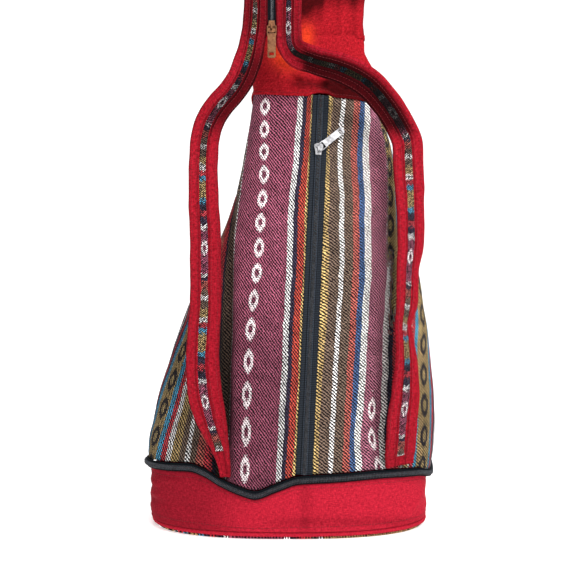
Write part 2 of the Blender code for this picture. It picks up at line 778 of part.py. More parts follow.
def hold_edge(frames, inner_sign):
    """Keep the inner edge of a half straight beside the strap zip."""
    held = []
    edge = SPLIT_X + inner_sign * STRAP_SLOT / 2
    for centre, way_side, normal, width in frames:
        blend = min(1.0, max(0.0, (centre.z - hz(1100)) / hz(40)))
        outer = centre.x + inner_sign * width / 2
        wanted = (edge + outer) / 2
        width_now = abs(outer - edge)
        c = centre.copy()
        c.x = centre.x * (1 - blend) + wanted * blend
        held.append((c, way_side, normal, width * (1 - blend) + width_now * blend))
    return held


left_frames = hold_edge(left_frames, -1)
right_frames = hold_edge(right_frames, 1)
ribbon("strap_left", "red_canvas", left_frames, flat(STRAP_THICK, 0.0008, LEFT_SEAT))
ribbon("strap_right", "red_canvas", right_frames, flat(STRAP_THICK, 0.0008, RIGHT_SEAT))


def trim_section(shift):
    def section(width):
        mid = width * shift
        lo, hi = mid - TRIM_WIDTH / 2, mid + TRIM_WIDTH / 2
        base = STRAP_THICK + TRIM_LIFT
        cap = base + TRIM_THICK
        return ((lo, base), (hi, base), (hi, cap), (lo, cap))
    return section


ribbon("trim_left", "woven_trim", left_frames[1:-4], trim_section(LEFT_SEAT))
ribbon("trim_right", "woven_trim", right_frames[1:-1], trim_section(RIGHT_SEAT))

chain_top = Vector((SPLIT_X, FRONT_Y - STRAP_THICK / 2, half_top - 0.001))
chain_low = Vector((SPLIT_X, FRONT_Y - STRAP_THICK / 2, hz(1106)))
STRAP_OUT = Vector((0, -1, 0))
UP = Vector((0, 0, 1))
ACROSS = Vector((1, 0, 0))
STRAP_COIL_TOP = -0.0002
STRAP_TAPE_TOP = STRAP_COIL_TOP - COIL_HEIGHT * 0.8 - 0.0003
for label, sign in (("left", -1), ("right", 1)):
    a, b = sign * (COIL_IN + 0.0003), sign * (STRAP_SLOT / 2 - 0.0003)
    straight("strap_tape_" + label, "black_tape", chain_low, chain_top, STRAP_OUT, ACROSS,
             box_band(min(a, b), max(a, b), STRAP_TAPE_TOP - TAPE_THICK, STRAP_TAPE_TOP))
    a, b = sign * COIL_IN, sign * (COIL_IN + COIL_WIDTH * 0.8)
    straight("strap_coil_" + label, "black_coil", chain_low, chain_top, STRAP_OUT, ACROSS,
             box_band(min(a, b), max(a, b), STRAP_COIL_TOP - COIL_HEIGHT * 0.8, STRAP_COIL_TOP))

slide_at = Vector((SPLIT_X, FRONT_Y - STRAP_THICK / 2, hz(1124)))
place = box_frame(slide_at, -ACROSS, -UP, STRAP_OUT)
slider("strap_slider", "old_brass", place, 0.0004, STRAP_TAPE_TOP - TAPE_THICK - 0.0004,
       0.0047, 0.0032)
pivot = slide_at + STRAP_OUT * (0.0004 + 0.0010 + PIVOT)
pull("strap_pull", "old_brass", box_frame(pivot, -ACROSS, -UP, STRAP_OUT), STRAP_PULL_LENGTH,
     STRAP_PULL_WIDTH, 0.0)

# Base zip slider on the straight stretch at the back
OUT_BACK = Vector((0, 1, 0))
back_y = dy(smooth(BODY, 4, LIP_BACK))
slide_at = Vector((wx(60), back_y + TAPE_OUT, hz(LIP_BACK)))
along_back = Vector((-1, 0, 0))
across_back = along_back.cross(OUT_BACK).normalized()
place = box_frame(slide_at, across_back, along_back, OUT_BACK)
BASE_TOP = TAPE_THICK + 0.0003 + COIL_HEIGHT + 0.0003
slider("base_slider", "silver_metal", place, BASE_TOP, -0.0004, 0.0048, 0.0041)
lean = math.radians(55)
way = (Vector((0, 0, -1)) * math.sin(lean) - along_back * math.cos(lean)).normalized()
hinge = way.cross(OUT_BACK).normalized()
pivot = slide_at + OUT_BACK * (BASE_TOP + 0.0010 + PIVOT)
pull("base_pull", "silver_metal", box_frame(pivot, hinge, way, OUT_BACK), PULL_LENGTH, PULL_WIDTH,
     0.0)
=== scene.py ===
"""Looks of the sling backpack: striped woven cotton, red canvas, black zips and bare metal pulls.

Metres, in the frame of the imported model. Tables give places as thousandths: X of BAG_WIDTH,
Y of BAG_DEPTH and Z of BODY_HEIGHT.
"""

import math

import bmesh
import bpy
import numpy as np
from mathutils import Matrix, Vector


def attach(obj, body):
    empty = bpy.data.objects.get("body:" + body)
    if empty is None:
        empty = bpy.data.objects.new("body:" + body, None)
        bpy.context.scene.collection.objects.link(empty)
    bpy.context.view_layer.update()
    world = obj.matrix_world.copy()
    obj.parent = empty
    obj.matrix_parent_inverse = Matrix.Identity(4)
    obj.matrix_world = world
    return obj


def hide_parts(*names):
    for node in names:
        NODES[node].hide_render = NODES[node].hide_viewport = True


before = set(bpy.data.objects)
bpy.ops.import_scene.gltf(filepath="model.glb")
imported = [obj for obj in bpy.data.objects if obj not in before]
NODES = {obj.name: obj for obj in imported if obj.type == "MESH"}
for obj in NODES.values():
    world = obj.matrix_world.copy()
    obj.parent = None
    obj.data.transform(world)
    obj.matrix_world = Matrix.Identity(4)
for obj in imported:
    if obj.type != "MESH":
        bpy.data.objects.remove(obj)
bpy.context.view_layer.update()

# Sizes shared with the solids
BAG_WIDTH = 0.308
BAG_DEPTH = 0.150
BODY_HEIGHT = 0.460
STRAP_TOP = 0.690
STRAP_THICK = 0.0032
TRIM_WIDTH = 0.0085
BASE_THICK = 0.0028
HEM_CORD = 0.0055
CREASE_DEPTH = 0.0070
FRONT_SLOT = 0.0166
STRAP_SLOT = 0.0076
BASE_TAPES = 0.0088
COIL_HEIGHT = 0.0014
FRONT_POWER = 2.4
BACK_POWER = 2.6
BACK_FLAT = 1.035

# Height, left edge, right edge, front, back
BODY = (
    (0, -477, 474, -480, 480), (43, -487, 477, -500, 500), (109, -492, 487, -513, 500),
    (143, -500, 500, -513, 500), (187, -498, 510, -501, 490), (235, -484, 513, -483, 473),
    (307, -463, 506, -460, 447), (378, -429, 497, -436, 420), (450, -393, 486, -413, 393),
    (517, -354, 472, -391, 367), (570, -312, 461, -373, 347), (665, -248, 425, -342, 313),
    (761, -196, 393, -311, 280), (880, -161, 360, -271, 240), (957, -141, 326, -247, 213),
    (1004, -131, 310, -220, 187), (1043, -131, 320, -160, 133), (1083, -126, 287, -83, 73),
    (1120, -108, 270, -43, 43), (1154, -92, 269, -30, 30),
)
LIP = (
    (-500, 146), (-416, 150), (-328, 154), (-279, 145), (-227, 126), (-162, 108), (-114, 100),
    (-49, 115), (32, 133), (162, 137), (295, 141), (416, 137), (474, 126), (500, 119),
)
LIP_BACK = 139
SEAM = ((-147, 1017), (-96, 1006), (0, 997), (137, 992), (239, 988), (301, 978))
SEAM_BACK = 997
CREASE = ((150, -220, 0), (200, -222, 600), (300, -217, 1000), (520, -214, 1000),
          (660, -212, 700), (760, -190, 0))
# Straps: across, height, depth, width in mm, side direction or turn in degrees
LEFT_STRAP = (
    (-112, 1387, -433, 24, 0), (-112, 1284, -433, 24, 0), (-112, 1184, -433, 24, 0),
    (-115, 1136, -433, 25, 0), (-126, 1085, -440, 26, 5), (-141, 1047, -447, 28, 12),
    (-165, 1009, -453, 28, 22), (-196, 978, -460, 29, 30), (-229, 952, -467, 29, 28),
    (-256, 924, -473, 29, 25), (-272, 895, -480, 29, 18), (-280, 857, -493, 29, 12),
    (-282, 811, -507, 29, 10), (-280, 741, -520, 30, 8), (-272, 653, -540, 31, 0),
    (-271, 524, -560, 31, 0), (-277, 449, -567, 32, 0), (-280, 391, -567, 33, 0),
    (-274, 331, -567, 34, 0), (-260, 286, -560, 33, -5), (-242, 244, -550, 28, -12),
    (-224, 205, -535, 20, -16), (-212, 164, -515, 13, -12), (-208, 141, -501, 11, -9),
)
RIGHT_STRAP = (
    (-3, 1387, -433, 26, (1, 0, 0)), (-3, 1284, -433, 26, (1, 0, 0)),
    (-3, 1184, -433, 26, (1, 0, 0)), (-5, 1136, -433, 26, (1, 0, 0)),
    (-3, 1099, -447, 27, (0.97, -0.1, 0.2)), (18, 1064, -500, 28, (0.6, -0.45, 0.66)),
    (76, 1042, -560, 29, (0.2, -0.66, 0.72)), (154, 1026, -565, 30, (0.15, -0.6, 0.78)),
    (244, 1000, -520, 30, (0.42, -0.5, 0.76)), (318, 957, -440, 30, (0.8, -0.32, 0.5)),
    (364, 912, -405, 30, (0.95, -0.2, 0.24)), (390, 864, -413, 31, (1, -0.1, 0.05)),
    (391, 796, -440, 31, (1, 0, 0)), (392, 721, -467, 31, (1, 0.3, 0)),
    (391, 655, -487, 31, (1, 0.4, 0)), (379, 587, -507, 31, (0.8, 0.6, 0)),
    (375, 522, -520, 31, (0.78, 0.62, 0)), (363, 470, -527, 31, (0.62, 0.78, 0)),
    (368, 431, -527, 31, (0.68, 0.72, 0)), (372, 385, -525, 32, (0.8, 0.6, 0)),
    (371, 322, -522, 33, (0.9, 0.42, 0)), (360, 252, -520, 34, (0.95, 0.3, 0)),
    (358, 200, -482, 34, (0.94, 0.34, 0)), (359, 176, -432, 33, (0.92, 0.4, 0)),
    (359, 160, -418, 33, (0.92, 0.4, 0)),
)
RISE = ((89, 1154, 0, 348), (89, 1170, 0, 344), (122, 1216, 0, 286), (153, 1262, 0, 232),
        (153, 1330, 0, 232))

MM = 0.001
CLOTH_THICK = 0.0012
TRIM_THICK = 0.0007
EDGE_ROLL = 0.0016
THREAD_LIFT = 0.0001
FINE_STEPS = 1440
# A UV layer counts 0.1 m as 1
UV_PER_M = 10.0
UV_MM = 100.0

# Where the camera stands, and the focal length and middle of its picture in pixels
EYE = (0.0, -0.825, 0.251)
FOCAL = 750.0
MIDDLE = 290


def wx(v):
    return v / 1000.0 * BAG_WIDTH


def dy(v):
    return v / 1000.0 * BAG_DEPTH


def hz(v):
    return v / 1000.0 * BODY_HEIGHT


def smooth(table, column, at):
    """Cubic through one column of a table whose first column rises, at one place or many."""
    keys = np.array([row[0] for row in table], float)
    vals = np.array([row[column] for row in table], float)
    at = np.clip(np.asarray(at, float), keys[0], keys[-1])
    step = np.diff(keys)
    rise = np.diff(vals) / step
    low, high = rise[:-1], rise[1:]
    total = np.where(low * high > 0, low + high, 1.0)
    inner = np.where(low * high > 0, 2 * low * high / total, 0.0)
    slope = np.concatenate([rise[:1], inner, rise[-1:]])
    i = np.clip(np.searchsorted(keys, at, side="right") - 1, 0, len(step) - 1)
    u = (at - keys[i]) / step[i]
    return ((2 * u ** 3 - 3 * u ** 2 + 1) * vals[i] + (u ** 3 - 2 * u ** 2 + u) * step[i] * slope[i]
            + (3 * u ** 2 - 2 * u ** 3) * vals[i + 1] + (u ** 3 - u ** 2) * step[i] * slope[i + 1])


def ease(low, high, at):
    """Smooth step from 0 at low to 1 at high."""
    share = np.clip((np.asarray(at, float) - low) / (high - low), 0.0, 1.0)
    return share * share * (3 - 2 * share)


def bell(at, middle, breadth):
    """Smooth hump of height 1."""
    return np.exp(-((at - middle) / breadth) ** 2)


def joined(*parts):
    """Arrays or numbers side by side along a new last axis."""
    return np.stack(np.broadcast_arrays(*parts), axis=-1)


def unit(rows):
    """Rows of vectors at length 1."""
    return rows / np.maximum(np.linalg.norm(rows, axis=-1, keepdims=True), 1e-12)


def square_to(rows, ways):
    """Unit vectors like rows, turned to stand square to ways."""
    return unit(rows - ways * (rows * ways).sum(axis=1, keepdims=True))


def distances(line):
    """Distance along a line of points."""
    steps = np.linalg.norm(np.diff(line, axis=0), axis=1)
    return np.concatenate([[0], np.cumsum(steps)])


def along(at, run, rows):
    """Rows of numbers known at the distances run, read at other distances."""
    return joined(*(np.interp(at, run, column) for column in rows.T))


def looped(line):
    """A line with its first point again at its end."""
    return np.concatenate([line, line[:1]])


def lip_height(x, y):
    """Height of the base zip's middle."""
    share = ease(dy(150), dy(-150), y)
    return hz(smooth(LIP, 1, 1000.0 * x / BAG_WIDTH)) * share + hz(LIP_BACK) * (1 - share)


def seam_height(x, y):
    """Height of the seam between the cloth and the yoke."""
    share = np.clip(0.5 - y / dy(120), 0.0, 1.0)
    return hz(smooth(SEAM, 1, 1000.0 * x / BAG_WIDTH)) * share + hz(SEAM_BACK) * (1 - share)


def outline(z, steps=720, creased=True):
    """Closed outlines at many heights, from the front middle round by the left: (height, step, 2)."""
    z = np.atleast_1d(np.asarray(z, float))
    h = 1000.0 * z / BODY_HEIGHT
    left, right = (wx(smooth(BODY, k, h))[:, None] for k in (1, 2))
    front, back = (dy(smooth(BODY, k, h))[:, None] for k in (3, 4))
    mid, half = (left + right) / 2, (right - left) / 2
    turn = 2 * math.pi * np.arange(steps + 1)[None, :] / steps
    s, c = np.sin(turn), np.cos(turn)
    power = np.where(c >= 0, FRONT_POWER, BACK_POWER)
    x = mid - half * np.sign(s) * np.abs(s) ** (2 / power)
    depth = np.abs(c) ** (2 / power)
    y = np.where(c >= 0, front * depth, back * np.minimum(1.0, BACK_FLAT * depth))
    if creased:
        across = wx(smooth(CREASE, 1, h))[:, None]
        fold = (CREASE_DEPTH * smooth(CREASE, 2, h) / 1000.0)[:, None]
        y = y + fold * bell(x, across, wx(24)) * (y < 0)
    return joined(x, y)


def front_at(line, run, x):
    """Distance along one outline at which its front passes x. Left of the middle is positive."""
    n = len(line) - 1
    q = n // 4
    xs = np.concatenate([line[n - q:n, 0], line[:q + 1, 0]])
    rs = np.concatenate([run[n - q:n] - run[-1], run[:q + 1]])
    return float(np.interp(-x, -xs, rs))


def back_at(line, run, share):
    """Distance along one outline at which its back passes a share of the width."""
    left, right = line[:, 0].min(), line[:, 0].max()
    n = len(line) - 1
    q = n // 4
    return float(np.interp(left + (right - left) * share, line[q:n - q + 1, 0], run[q:n - q + 1]))


ZIP_LOW = Vector((wx(45), dy(-516), hz(139)))
ZIP_HIGH = Vector((wx(106), dy(-236), hz(993)))
ZIP_UP = (ZIP_HIGH - ZIP_LOW).normalized()
ZIP_OUT = Vector((0, -1, 0))
ZIP_OUT = (ZIP_OUT - ZIP_UP * ZIP_OUT.dot(ZIP_UP)).normalized()
ZIP_ACROSS = ZIP_UP.cross(ZIP_OUT).normalized()


def zip_x(z):
    return ZIP_LOW.x + (ZIP_HIGH.x - ZIP_LOW.x) * (z - ZIP_LOW.z) / (ZIP_HIGH.z - ZIP_LOW.z)


# Repeatable noise

def chance(cell, seed):
    """Even numbers in 0..1 from whole-number cells."""
    mixed = (cell[..., 0] * 374761393 + cell[..., 1] * 668265263 + cell[..., 2] * 2147483647
             + seed * 974634777).astype(np.int64) & 0xFFFFFFFF
    mixed = ((mixed ^ (mixed >> 13)) * 1274126177) & 0xFFFFFFFF
    return ((mixed ^ (mixed >> 16)) & 0xFFFFFF) / float(0xFFFFFF)


def noise(points, size, seed=1):
    """Smooth noise in -1..1 over points, with features of the given size (one number or three)."""
    p = np.asarray(points, float) / np.asarray(size, float)
    base = np.floor(p).astype(np.int64)
    f = p - base
    f = f * f * (3 - 2 * f)
    total = 0.0
    for corner in range(8):
        off = np.array([(corner >> k) & 1 for k in range(3)])
        weight = np.prod(np.where(off == 1, f, 1 - f), axis=-1)
        total = total + weight * chance(base + off, seed)
    return total * 2 - 1


# Mesh building

def add_object(name, data):
    obj = bpy.data.objects.new(name, data)
    bpy.context.scene.collection.objects.link(obj)
    return obj


def build(name, points, closed=(False, False), uvs=None):
    """Mesh from a grid of points (rows, columns, 3), open or closed each way, with its UV layers."""
    rows, cols = points.shape[:2]
    i = np.arange(rows if closed[0] else rows - 1)
    j = np.arange(cols if closed[1] else cols - 1)
    a, b = np.meshgrid(i, j, indexing="ij")
    a2, b2 = (a + 1) % rows, (b + 1) % cols
    quads = joined(a * cols + b, a2 * cols + b, a2 * cols + b2, a * cols + b2).reshape(-1, 4)
    data = bpy.data.meshes.new(name)
    data.vertices.add(rows * cols)
    data.vertices.foreach_set("co", points.reshape(-1).astype(np.float32))
    data.loops.add(quads.size)
    data.loops.foreach_set("vertex_index", quads.reshape(-1).astype(np.int32))
    data.polygons.add(len(quads))
    data.polygons.foreach_set("loop_start", np.arange(0, quads.size, 4, dtype=np.int32))
    if uvs:
        # Every piece gets a painted_shade layer: painted shade in its first coordinate and painted warm
        # glow in its second, zero where none is given.
        uvs.setdefault("painted_shade", np.zeros((rows, cols, 2)))
        corners = joined(a, a + 1, a + 1, a), joined(b, b, b + 1, b + 1)
        for layer, grid in uvs.items():
            if closed[0]:
                grid = np.concatenate([grid, 2 * grid[-1:] - grid[-2:-1]], axis=0)
            if closed[1]:
                grid = np.concatenate([grid, 2 * grid[:, -1:] - grid[:, -2:-1]], axis=1)
            made = data.uv_layers.new(name=layer)
            made.data.foreach_set("uv", grid[corners].reshape(-1).astype(np.float32))
    data.update(calc_edges=True)
    data.validate()
    data.polygons.foreach_set("use_smooth", np.ones(len(data.polygons), dtype=bool))
    obj = add_object(name, data)
    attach(obj, "bag")
    return obj


def finish_piece(obj, paint, slot_name, *nodes):
    """Give a piece its material, and hide the solids that it stands for. The slot name is not used."""
    obj.data.materials.clear()
    obj.data.materials.append(paint)
    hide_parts(*nodes)


def thicken(obj, thick):
    lift = obj.modifiers.new("thickness", "SOLIDIFY")
    lift.thickness = thick
    lift.offset = -1.0
    lift.use_even_offset = False


def normals(points):
    """Unit normals of a grid of points."""
    return unit(np.cross(np.gradient(points, axis=0), np.gradient(points, axis=1)))


# Materials

class Paint:
    """Short calls for building one material's nodes."""

    def __init__(self, name):
        self.made = bpy.data.materials.new(name)
        self.made.use_nodes = True
        self.tree = self.made.node_tree
        self.shader = self.tree.nodes["Principled BSDF"]

    def feed(self, socket, value):
        if isinstance(value, bpy.types.NodeSocket):
            self.tree.links.new(value, socket)
        elif value is not None:
            if socket.type == "RGBA" and len(value) == 3:
                value = (*value, 1.0)
            socket.default_value = value

    def put(self, kind, inputs=(), **settings):
        node = self.tree.nodes.new(kind)
        for key, value in settings.items():
            setattr(node, key, value)
        pairs = inputs.items() if isinstance(inputs, dict) else enumerate(inputs)
        for key, value in pairs:
            self.feed(node.inputs[key], value)
        return node

    def calc(self, operation, a, b=None, c=None):
        return self.put("ShaderNodeMath", (a, b, c), operation=operation).outputs[0]

    def add(self, a, b):
        return self.calc("ADD", a, b)

    def times(self, a, b):
        return self.calc("MULTIPLY", a, b)

    def blend(self, share, a, b, kind="MIX"):
        node = self.put("ShaderNodeMix", data_type="RGBA", blend_type=kind)
        for key, value in ((0, share), (6, a), (7, b)):
            self.feed(node.inputs[key], value)
        return node.outputs[2]

    def span(self, value, low, high, to_low=0.0, to_high=1.0):
        return self.put("ShaderNodeMapRange", (value, low, high, to_low, to_high)).outputs[0]

    def grain(self, place, scale, detail=2.0, rough=0.5):
        return self.put("ShaderNodeTexNoise", {"Vector": place, "Scale": scale, "Detail": detail,
                                               "Roughness": rough}).outputs[0]

    def ramp(self, value, stops, kind="CONSTANT"):
        node = self.put("ShaderNodeValToRGB", (value,))
        node.color_ramp.interpolation = kind
        items = node.color_ramp.elements
        while len(items) < len(stops):
            items.new(1.0)
        for item, (at, colour) in zip(items, stops):
            item.position = at
            item.color = (*colour, 1.0)
        return node.outputs[0]

    def bump(self, height, distance, strength):
        return self.put("ShaderNodeBump", {"Strength": strength, "Distance": distance,
                                           "Height": height}).outputs["Normal"]

    def uv(self, layer):
        where = self.put("ShaderNodeUVMap", uv_map=layer).outputs[0]
        parts = self.put("ShaderNodeSeparateXYZ", (where,))
        return where, parts.outputs[0], parts.outputs[1]

    def place(self):
        return self.put("ShaderNodeNewGeometry").outputs["Position"]

    def shaded(self, colour, by):
        tone = self.put("ShaderNodeCombineXYZ", (by, by, by)).outputs[0]
        return self.blend(1.0, colour, tone, "MULTIPLY")

    def done(self, colour, rough, normal=None, **fixed):
        for key, value in (("Base Color", colour), ("Roughness", rough), ("Normal", normal)):
            self.feed(self.shader.inputs[key], value)
        for key, value in fixed.items():
            self.shader.inputs[key.replace("_", " ")].default_value = value
        return self.made


MAROON = (0.180, 0.047, 0.078)
# A painted lit copy of the maroon, lighter where light falls more on the right panel
MAROON_LIT = (0.215, 0.076, 0.112)
WHITE = (0.440, 0.430, 0.430)
NAVY = (0.022, 0.018, 0.034)
BLUE = (0.034, 0.066, 0.150)
RED = (0.300, 0.028, 0.036)
ORANGE = (0.235, 0.060, 0.048)
RUST = (0.250, 0.036, 0.026)
BROWN = (0.092, 0.064, 0.048)
GOLD = (0.235, 0.165, 0.072)
CYAN = (0.045, 0.185, 0.290)
YELLOW = (0.380, 0.270, 0.105)
YARN_DARK = (0.010, 0.006, 0.008)


def bands(first, rows, reach):
    """Colour stops over 0..reach mm from rows of (colour, width in mm)."""
    stops, at = [(0.0, rows[0][0])], first
    for k, (colour, width) in enumerate(rows):
        if k:
            stops.append((min(at / reach, 1.0), colour))
        at += width
    return stops


LEFT_BANDS = ((YELLOW, 1.6), (RUST, 7.5), (NAVY, 4.5), (WHITE, 5.5), (MAROON, 58.3), (WHITE, 2.6),
              (BROWN, 10.9), (NAVY, 3), (RED, 7), (ORANGE, 6), (BROWN, 6.5), (WHITE, 4.5), (BROWN, 5),
              (GOLD, 9), (WHITE, 5), (RED, 6), (CYAN, 6.5), (GOLD, 20), (CYAN, 7), (NAVY, 4), (RED, 6),
              (NAVY, 6), (WHITE, 5), (MAROON, 46), (WHITE, 5), (NAVY, 6), (RED, 9), (BROWN, 8), (WHITE, 5),
              (GOLD, 14), (CYAN, 6), (MAROON, 30))
RIGHT_BANDS = ((YELLOW, 1.0), (GOLD, 1.8), (BROWN, 9.4), (WHITE, 5), (BROWN, 9), (ORANGE, 8),
               (BLUE, 6), (WHITE, 6), (MAROON_LIT, 21.8), (WHITE, 5.5), (NAVY, 5), (RED, 10),
               (BROWN, 6), (WHITE, 4), (BROWN, 4), (GOLD, 5), (WHITE, 3), (RED, 4), (CYAN, 5),
               (GOLD, 20.5), (CYAN, 5), (RED, 5), (NAVY, 6), (WHITE, 5), (MAROON, 58), (WHITE, 5),
               (NAVY, 6), (RED, 8))
BACK_BANDS = ((MAROON, 26), (WHITE, 5), (NAVY, 5), (RED, 9), (ORANGE, 8), (BROWN, 6), (WHITE, 5),
              (BROWN, 6), (GOLD, 9), (WHITE, 4), (RED, 6), (CYAN, 5), (GOLD, 13), (CYAN, 5),
              (NAVY, 6), (RED, 8), (NAVY, 6), (WHITE, 5), (MAROON, 58), (WHITE, 5), (NAVY, 6),
              (RED, 8), (ORANGE, 8), (BROWN, 6), (WHITE, 5), (GOLD, 9))
TRIM_BANDS = ((MAROON, 43), (WHITE, 3), (NAVY, 5), (ORANGE, 8), (BROWN, 6), (WHITE, 5), (BROWN, 8),
              (GOLD, 8), (WHITE, 6), (RED, 5), (CYAN, 5), (GOLD, 18), (CYAN, 5), (NAVY, 8),
              (RED, 6), (NAVY, 8), (WHITE, 5))
LEFT_REACH, RIGHT_REACH, BACK_REACH, TRIM_REACH = 360.0, 300.0, 320.0, 152.0

# Colour of the painted warm glow, a painted pool of light on the red canvas
PAINTED_GLOW_COLOUR = (0.78, 0.060, 0.012)
TAPE_RIB = 0.9 * MM
# Share of 10 mm from the zip's middle, and how bright the tape is there
RIDGE_LIGHT = ((0.0, 0.25), (0.09, 1.5), (0.24, 2.3), (0.36, 0.2), (0.46, 1.0), (0.80, 0.7))


def scaled(colour, by):
    return tuple(min(1.0, c * by) for c in colour)


def woven(name, rows, reach, motifs=(), turned=False, wrap=False, first=8.5, pace=(3.0, 3.8), hand=1.0,
          broken=0.0):
    """Coarse striped cotton: light yarn dots over dark ones, and ring motifs in some stripes."""
    p = Paint(name)
    where, u, v = p.uv("weave")
    across, down = p.times(u, UV_MM), p.times(v, UV_MM)
    if turned:
        across, down = down, across
    wander = p.span(p.grain(where, 5.0, 2.0), 0.3, 0.7, -0.7, 0.7)
    fine = p.grain(where, 90.0, 2.0, 0.7)
    waver = p.span(p.grain(where, 16.0, 4.0, 0.7), 0.25, 0.75, -2.3, 2.3)
    pace_u, pace_v = 2 * math.pi / pace[0], 2 * math.pi / pace[1]
    ribs = p.add(p.times(across, pace_u * hand), p.times(down, pace_v))
    ribs = p.calc("SINE", p.add(ribs, waver))
    picks = p.calc("SUBTRACT", p.times(across, pace_u * 1.02 * hand), p.times(down, pace_v * 0.94))
    picks = p.calc("SINE", p.add(picks, p.times(waver, 1.7)))
    shift = p.add(wander, p.times(ribs, 0.38))
    at = p.add(across, p.add(shift, p.span(fine, 0.3, 0.7, -0.25, 0.25)))
    if broken:
        at = p.add(at, p.span(p.grain(where, 42.0, 2.0, 0.7), 0.3, 0.7, -broken, broken))
    if wrap:
        at = p.calc("WRAP", at, reach, 0.0)
    colour = p.ramp(p.calc("DIVIDE", at, reach), bands(first, rows, reach))
    rings_at = []
    for layer, dark, light, half in motifs:
        _, mx, my = p.uv(layer)
        cell = p.calc("SNAP", p.add(mx, 0.14), 0.28)
        local = p.calc("SUBTRACT", p.calc("FRACT", my), 0.5)
        tall = p.calc("SNAP", p.add(p.calc("DIVIDE", local, half), 0.10), 0.20)
        ax = p.calc("POWER", p.calc("ABSOLUTE", cell), 1.6)
        ay = p.calc("POWER", p.calc("ABSOLUTE", tall), 1.6)
        far = p.add(p.add(ax, ay), p.span(fine, 0.3, 0.7, -0.16, 0.16))
        hole = p.calc("LESS_THAN", far, 0.34)
        ring = p.calc("SUBTRACT", p.calc("LESS_THAN", far, 1.10), hole)
        colour = p.blend(ring, p.blend(hole, colour, dark), light)
        rings_at.append(ring)
    dots = p.add(ribs, p.times(picks, 0.55))
    dots = p.add(dots, p.span(fine, 0.25, 0.75, -0.75, 0.75))
    for ring in rings_at:
        dots = p.add(dots, p.times(ring, 0.75))
    lit = p.span(dots, 0.02, 0.48)
    dark = p.blend(0.90, p.blend(1.0, colour, (0.20, 0.20, 0.20), "MULTIPLY"), YARN_DARK)
    bright = p.blend(1.0, colour, (3.3, 3.3, 3.3), "MULTIPLY")
    shade = p.blend(lit, dark, bright)
    if broken:
        specks = p.span(p.grain(where, 60.0, 1.0), 0.50, 0.56)
        shade = p.blend(p.times(specks, 0.92), shade, YARN_DARK)
    patch = p.span(p.grain(where, 6.0, 5.0, 0.7), 0.3, 0.7, 0.66, 1.26)
    # Random darker and lighter patches, darkened further by the painted shade
    patch = p.times(patch, p.calc("SUBTRACT", 1.0, p.uv("painted_shade")[1]))
    shade = p.shaded(shade, patch)
    height = p.add(p.times(dots, 0.6), p.times(fine, 0.6))
    rough = p.span(fine, 0.3, 0.7, 0.84, 0.97)
    return p.done(shade, rough, p.bump(height, 0.0008, 0.8), Specular_IOR_Level=0.08,
                  Sheen_Weight=0.02, Sheen_Roughness=0.5)


def canvas(name, colour, dark, light, mottled=0.34):
    """Plain red canvas: fine slubbed yarns and mottling, with painted shade in its hollows and a painted
    warm glow in some places.
    """
    p = Paint(name)
    where, u, v = p.uv("weave")
    long_u = p.put("ShaderNodeCombineXYZ", (p.times(u, 0.30), v, 0.0)).outputs[0]
    long_v = p.put("ShaderNodeCombineXYZ", (u, p.times(v, 0.30), 0.0)).outputs[0]
    weft = p.grain(long_u, 95.0, 2.0, 0.6)
    warp = p.grain(long_v, 95.0, 2.0, 0.6)
    yarns = p.add(weft, warp)
    base = p.blend(p.span(yarns, 0.72, 1.28), dark, light)
    cloud = p.span(p.grain(where, 3.0, 4.0, 0.6), 0.28, 0.72)
    base = p.blend(p.times(cloud, 0.45), base, colour)
    worn = p.span(p.grain(where, 13.0, 3.0, 0.7), 0.62, 0.78)
    base = p.blend(p.times(worn, 0.30), base, light)
    mottle = p.span(p.grain(where, 30.0, 3.0, 0.7), 0.3, 0.7, 1.0 - mottled, 1.0 + mottled)
    # The painted warm glow is mixed in, then the painted shade and the random mottling are multiplied in
    _, painted_shade, painted_glow = p.uv("painted_shade")
    base = p.blend(painted_glow, base, PAINTED_GLOW_COLOUR)
    base = p.shaded(base, p.times(mottle, p.calc("SUBTRACT", 1.0, painted_shade)))
    height = p.add(yarns, p.times(cloud, 0.4))
    return p.done(base, p.span(warp, 0.3, 0.7, 0.80, 0.95), p.bump(height, 0.0006, 0.55),
                  Specular_IOR_Level=0.05, Sheen_Weight=0.02, Sheen_Roughness=0.4,
                  Sheen_Tint=(0.95, 0.30, 0.38, 1.0))


def tape(name, lines=False, deep=1.0):
    """Black ribbed zip tape; with lines, its folded ridge beside the coil catches more light."""
    p = Paint(name)
    where, u, v = p.uv("weave")
    ribs = p.calc("SINE", p.times(v, math.pi / TAPE_RIB / UV_PER_M))
    fuzz = p.grain(where, 120.0, 2.0, 0.7)
    colour = p.blend(p.span(p.add(ribs, p.times(fuzz, 1.5)), 0.0, 1.9),
                     scaled((0.006, 0.008, 0.012), deep), scaled((0.032, 0.041, 0.055), deep))
    if lines:
        off = p.times(p.calc("ABSOLUTE", u), UV_MM)
        stops = [(at, (grey,) * 3) for at, grey in RIDGE_LIGHT]
        tone = p.ramp(p.calc("DIVIDE", off, 10.0), stops, "LINEAR")
        colour = p.blend(1.0, colour, tone, "MULTIPLY")
    return p.done(colour, p.span(fuzz, 0.3, 0.7, 0.7, 0.92), p.bump(ribs, 0.0003, 0.5),
                  Specular_IOR_Level=0.15 * deep)


def coil_plastic(name):
    p = Paint(name)
    wear = p.grain(p.place(), 400.0, 2.0)
    colour = p.blend(p.span(wear, 0.35, 0.7), (0.010, 0.012, 0.017), (0.060, 0.066, 0.080))
    return p.done(colour, p.span(wear, 0.3, 0.7, 0.34, 0.56), p.bump(wear, 0.0001, 0.3))


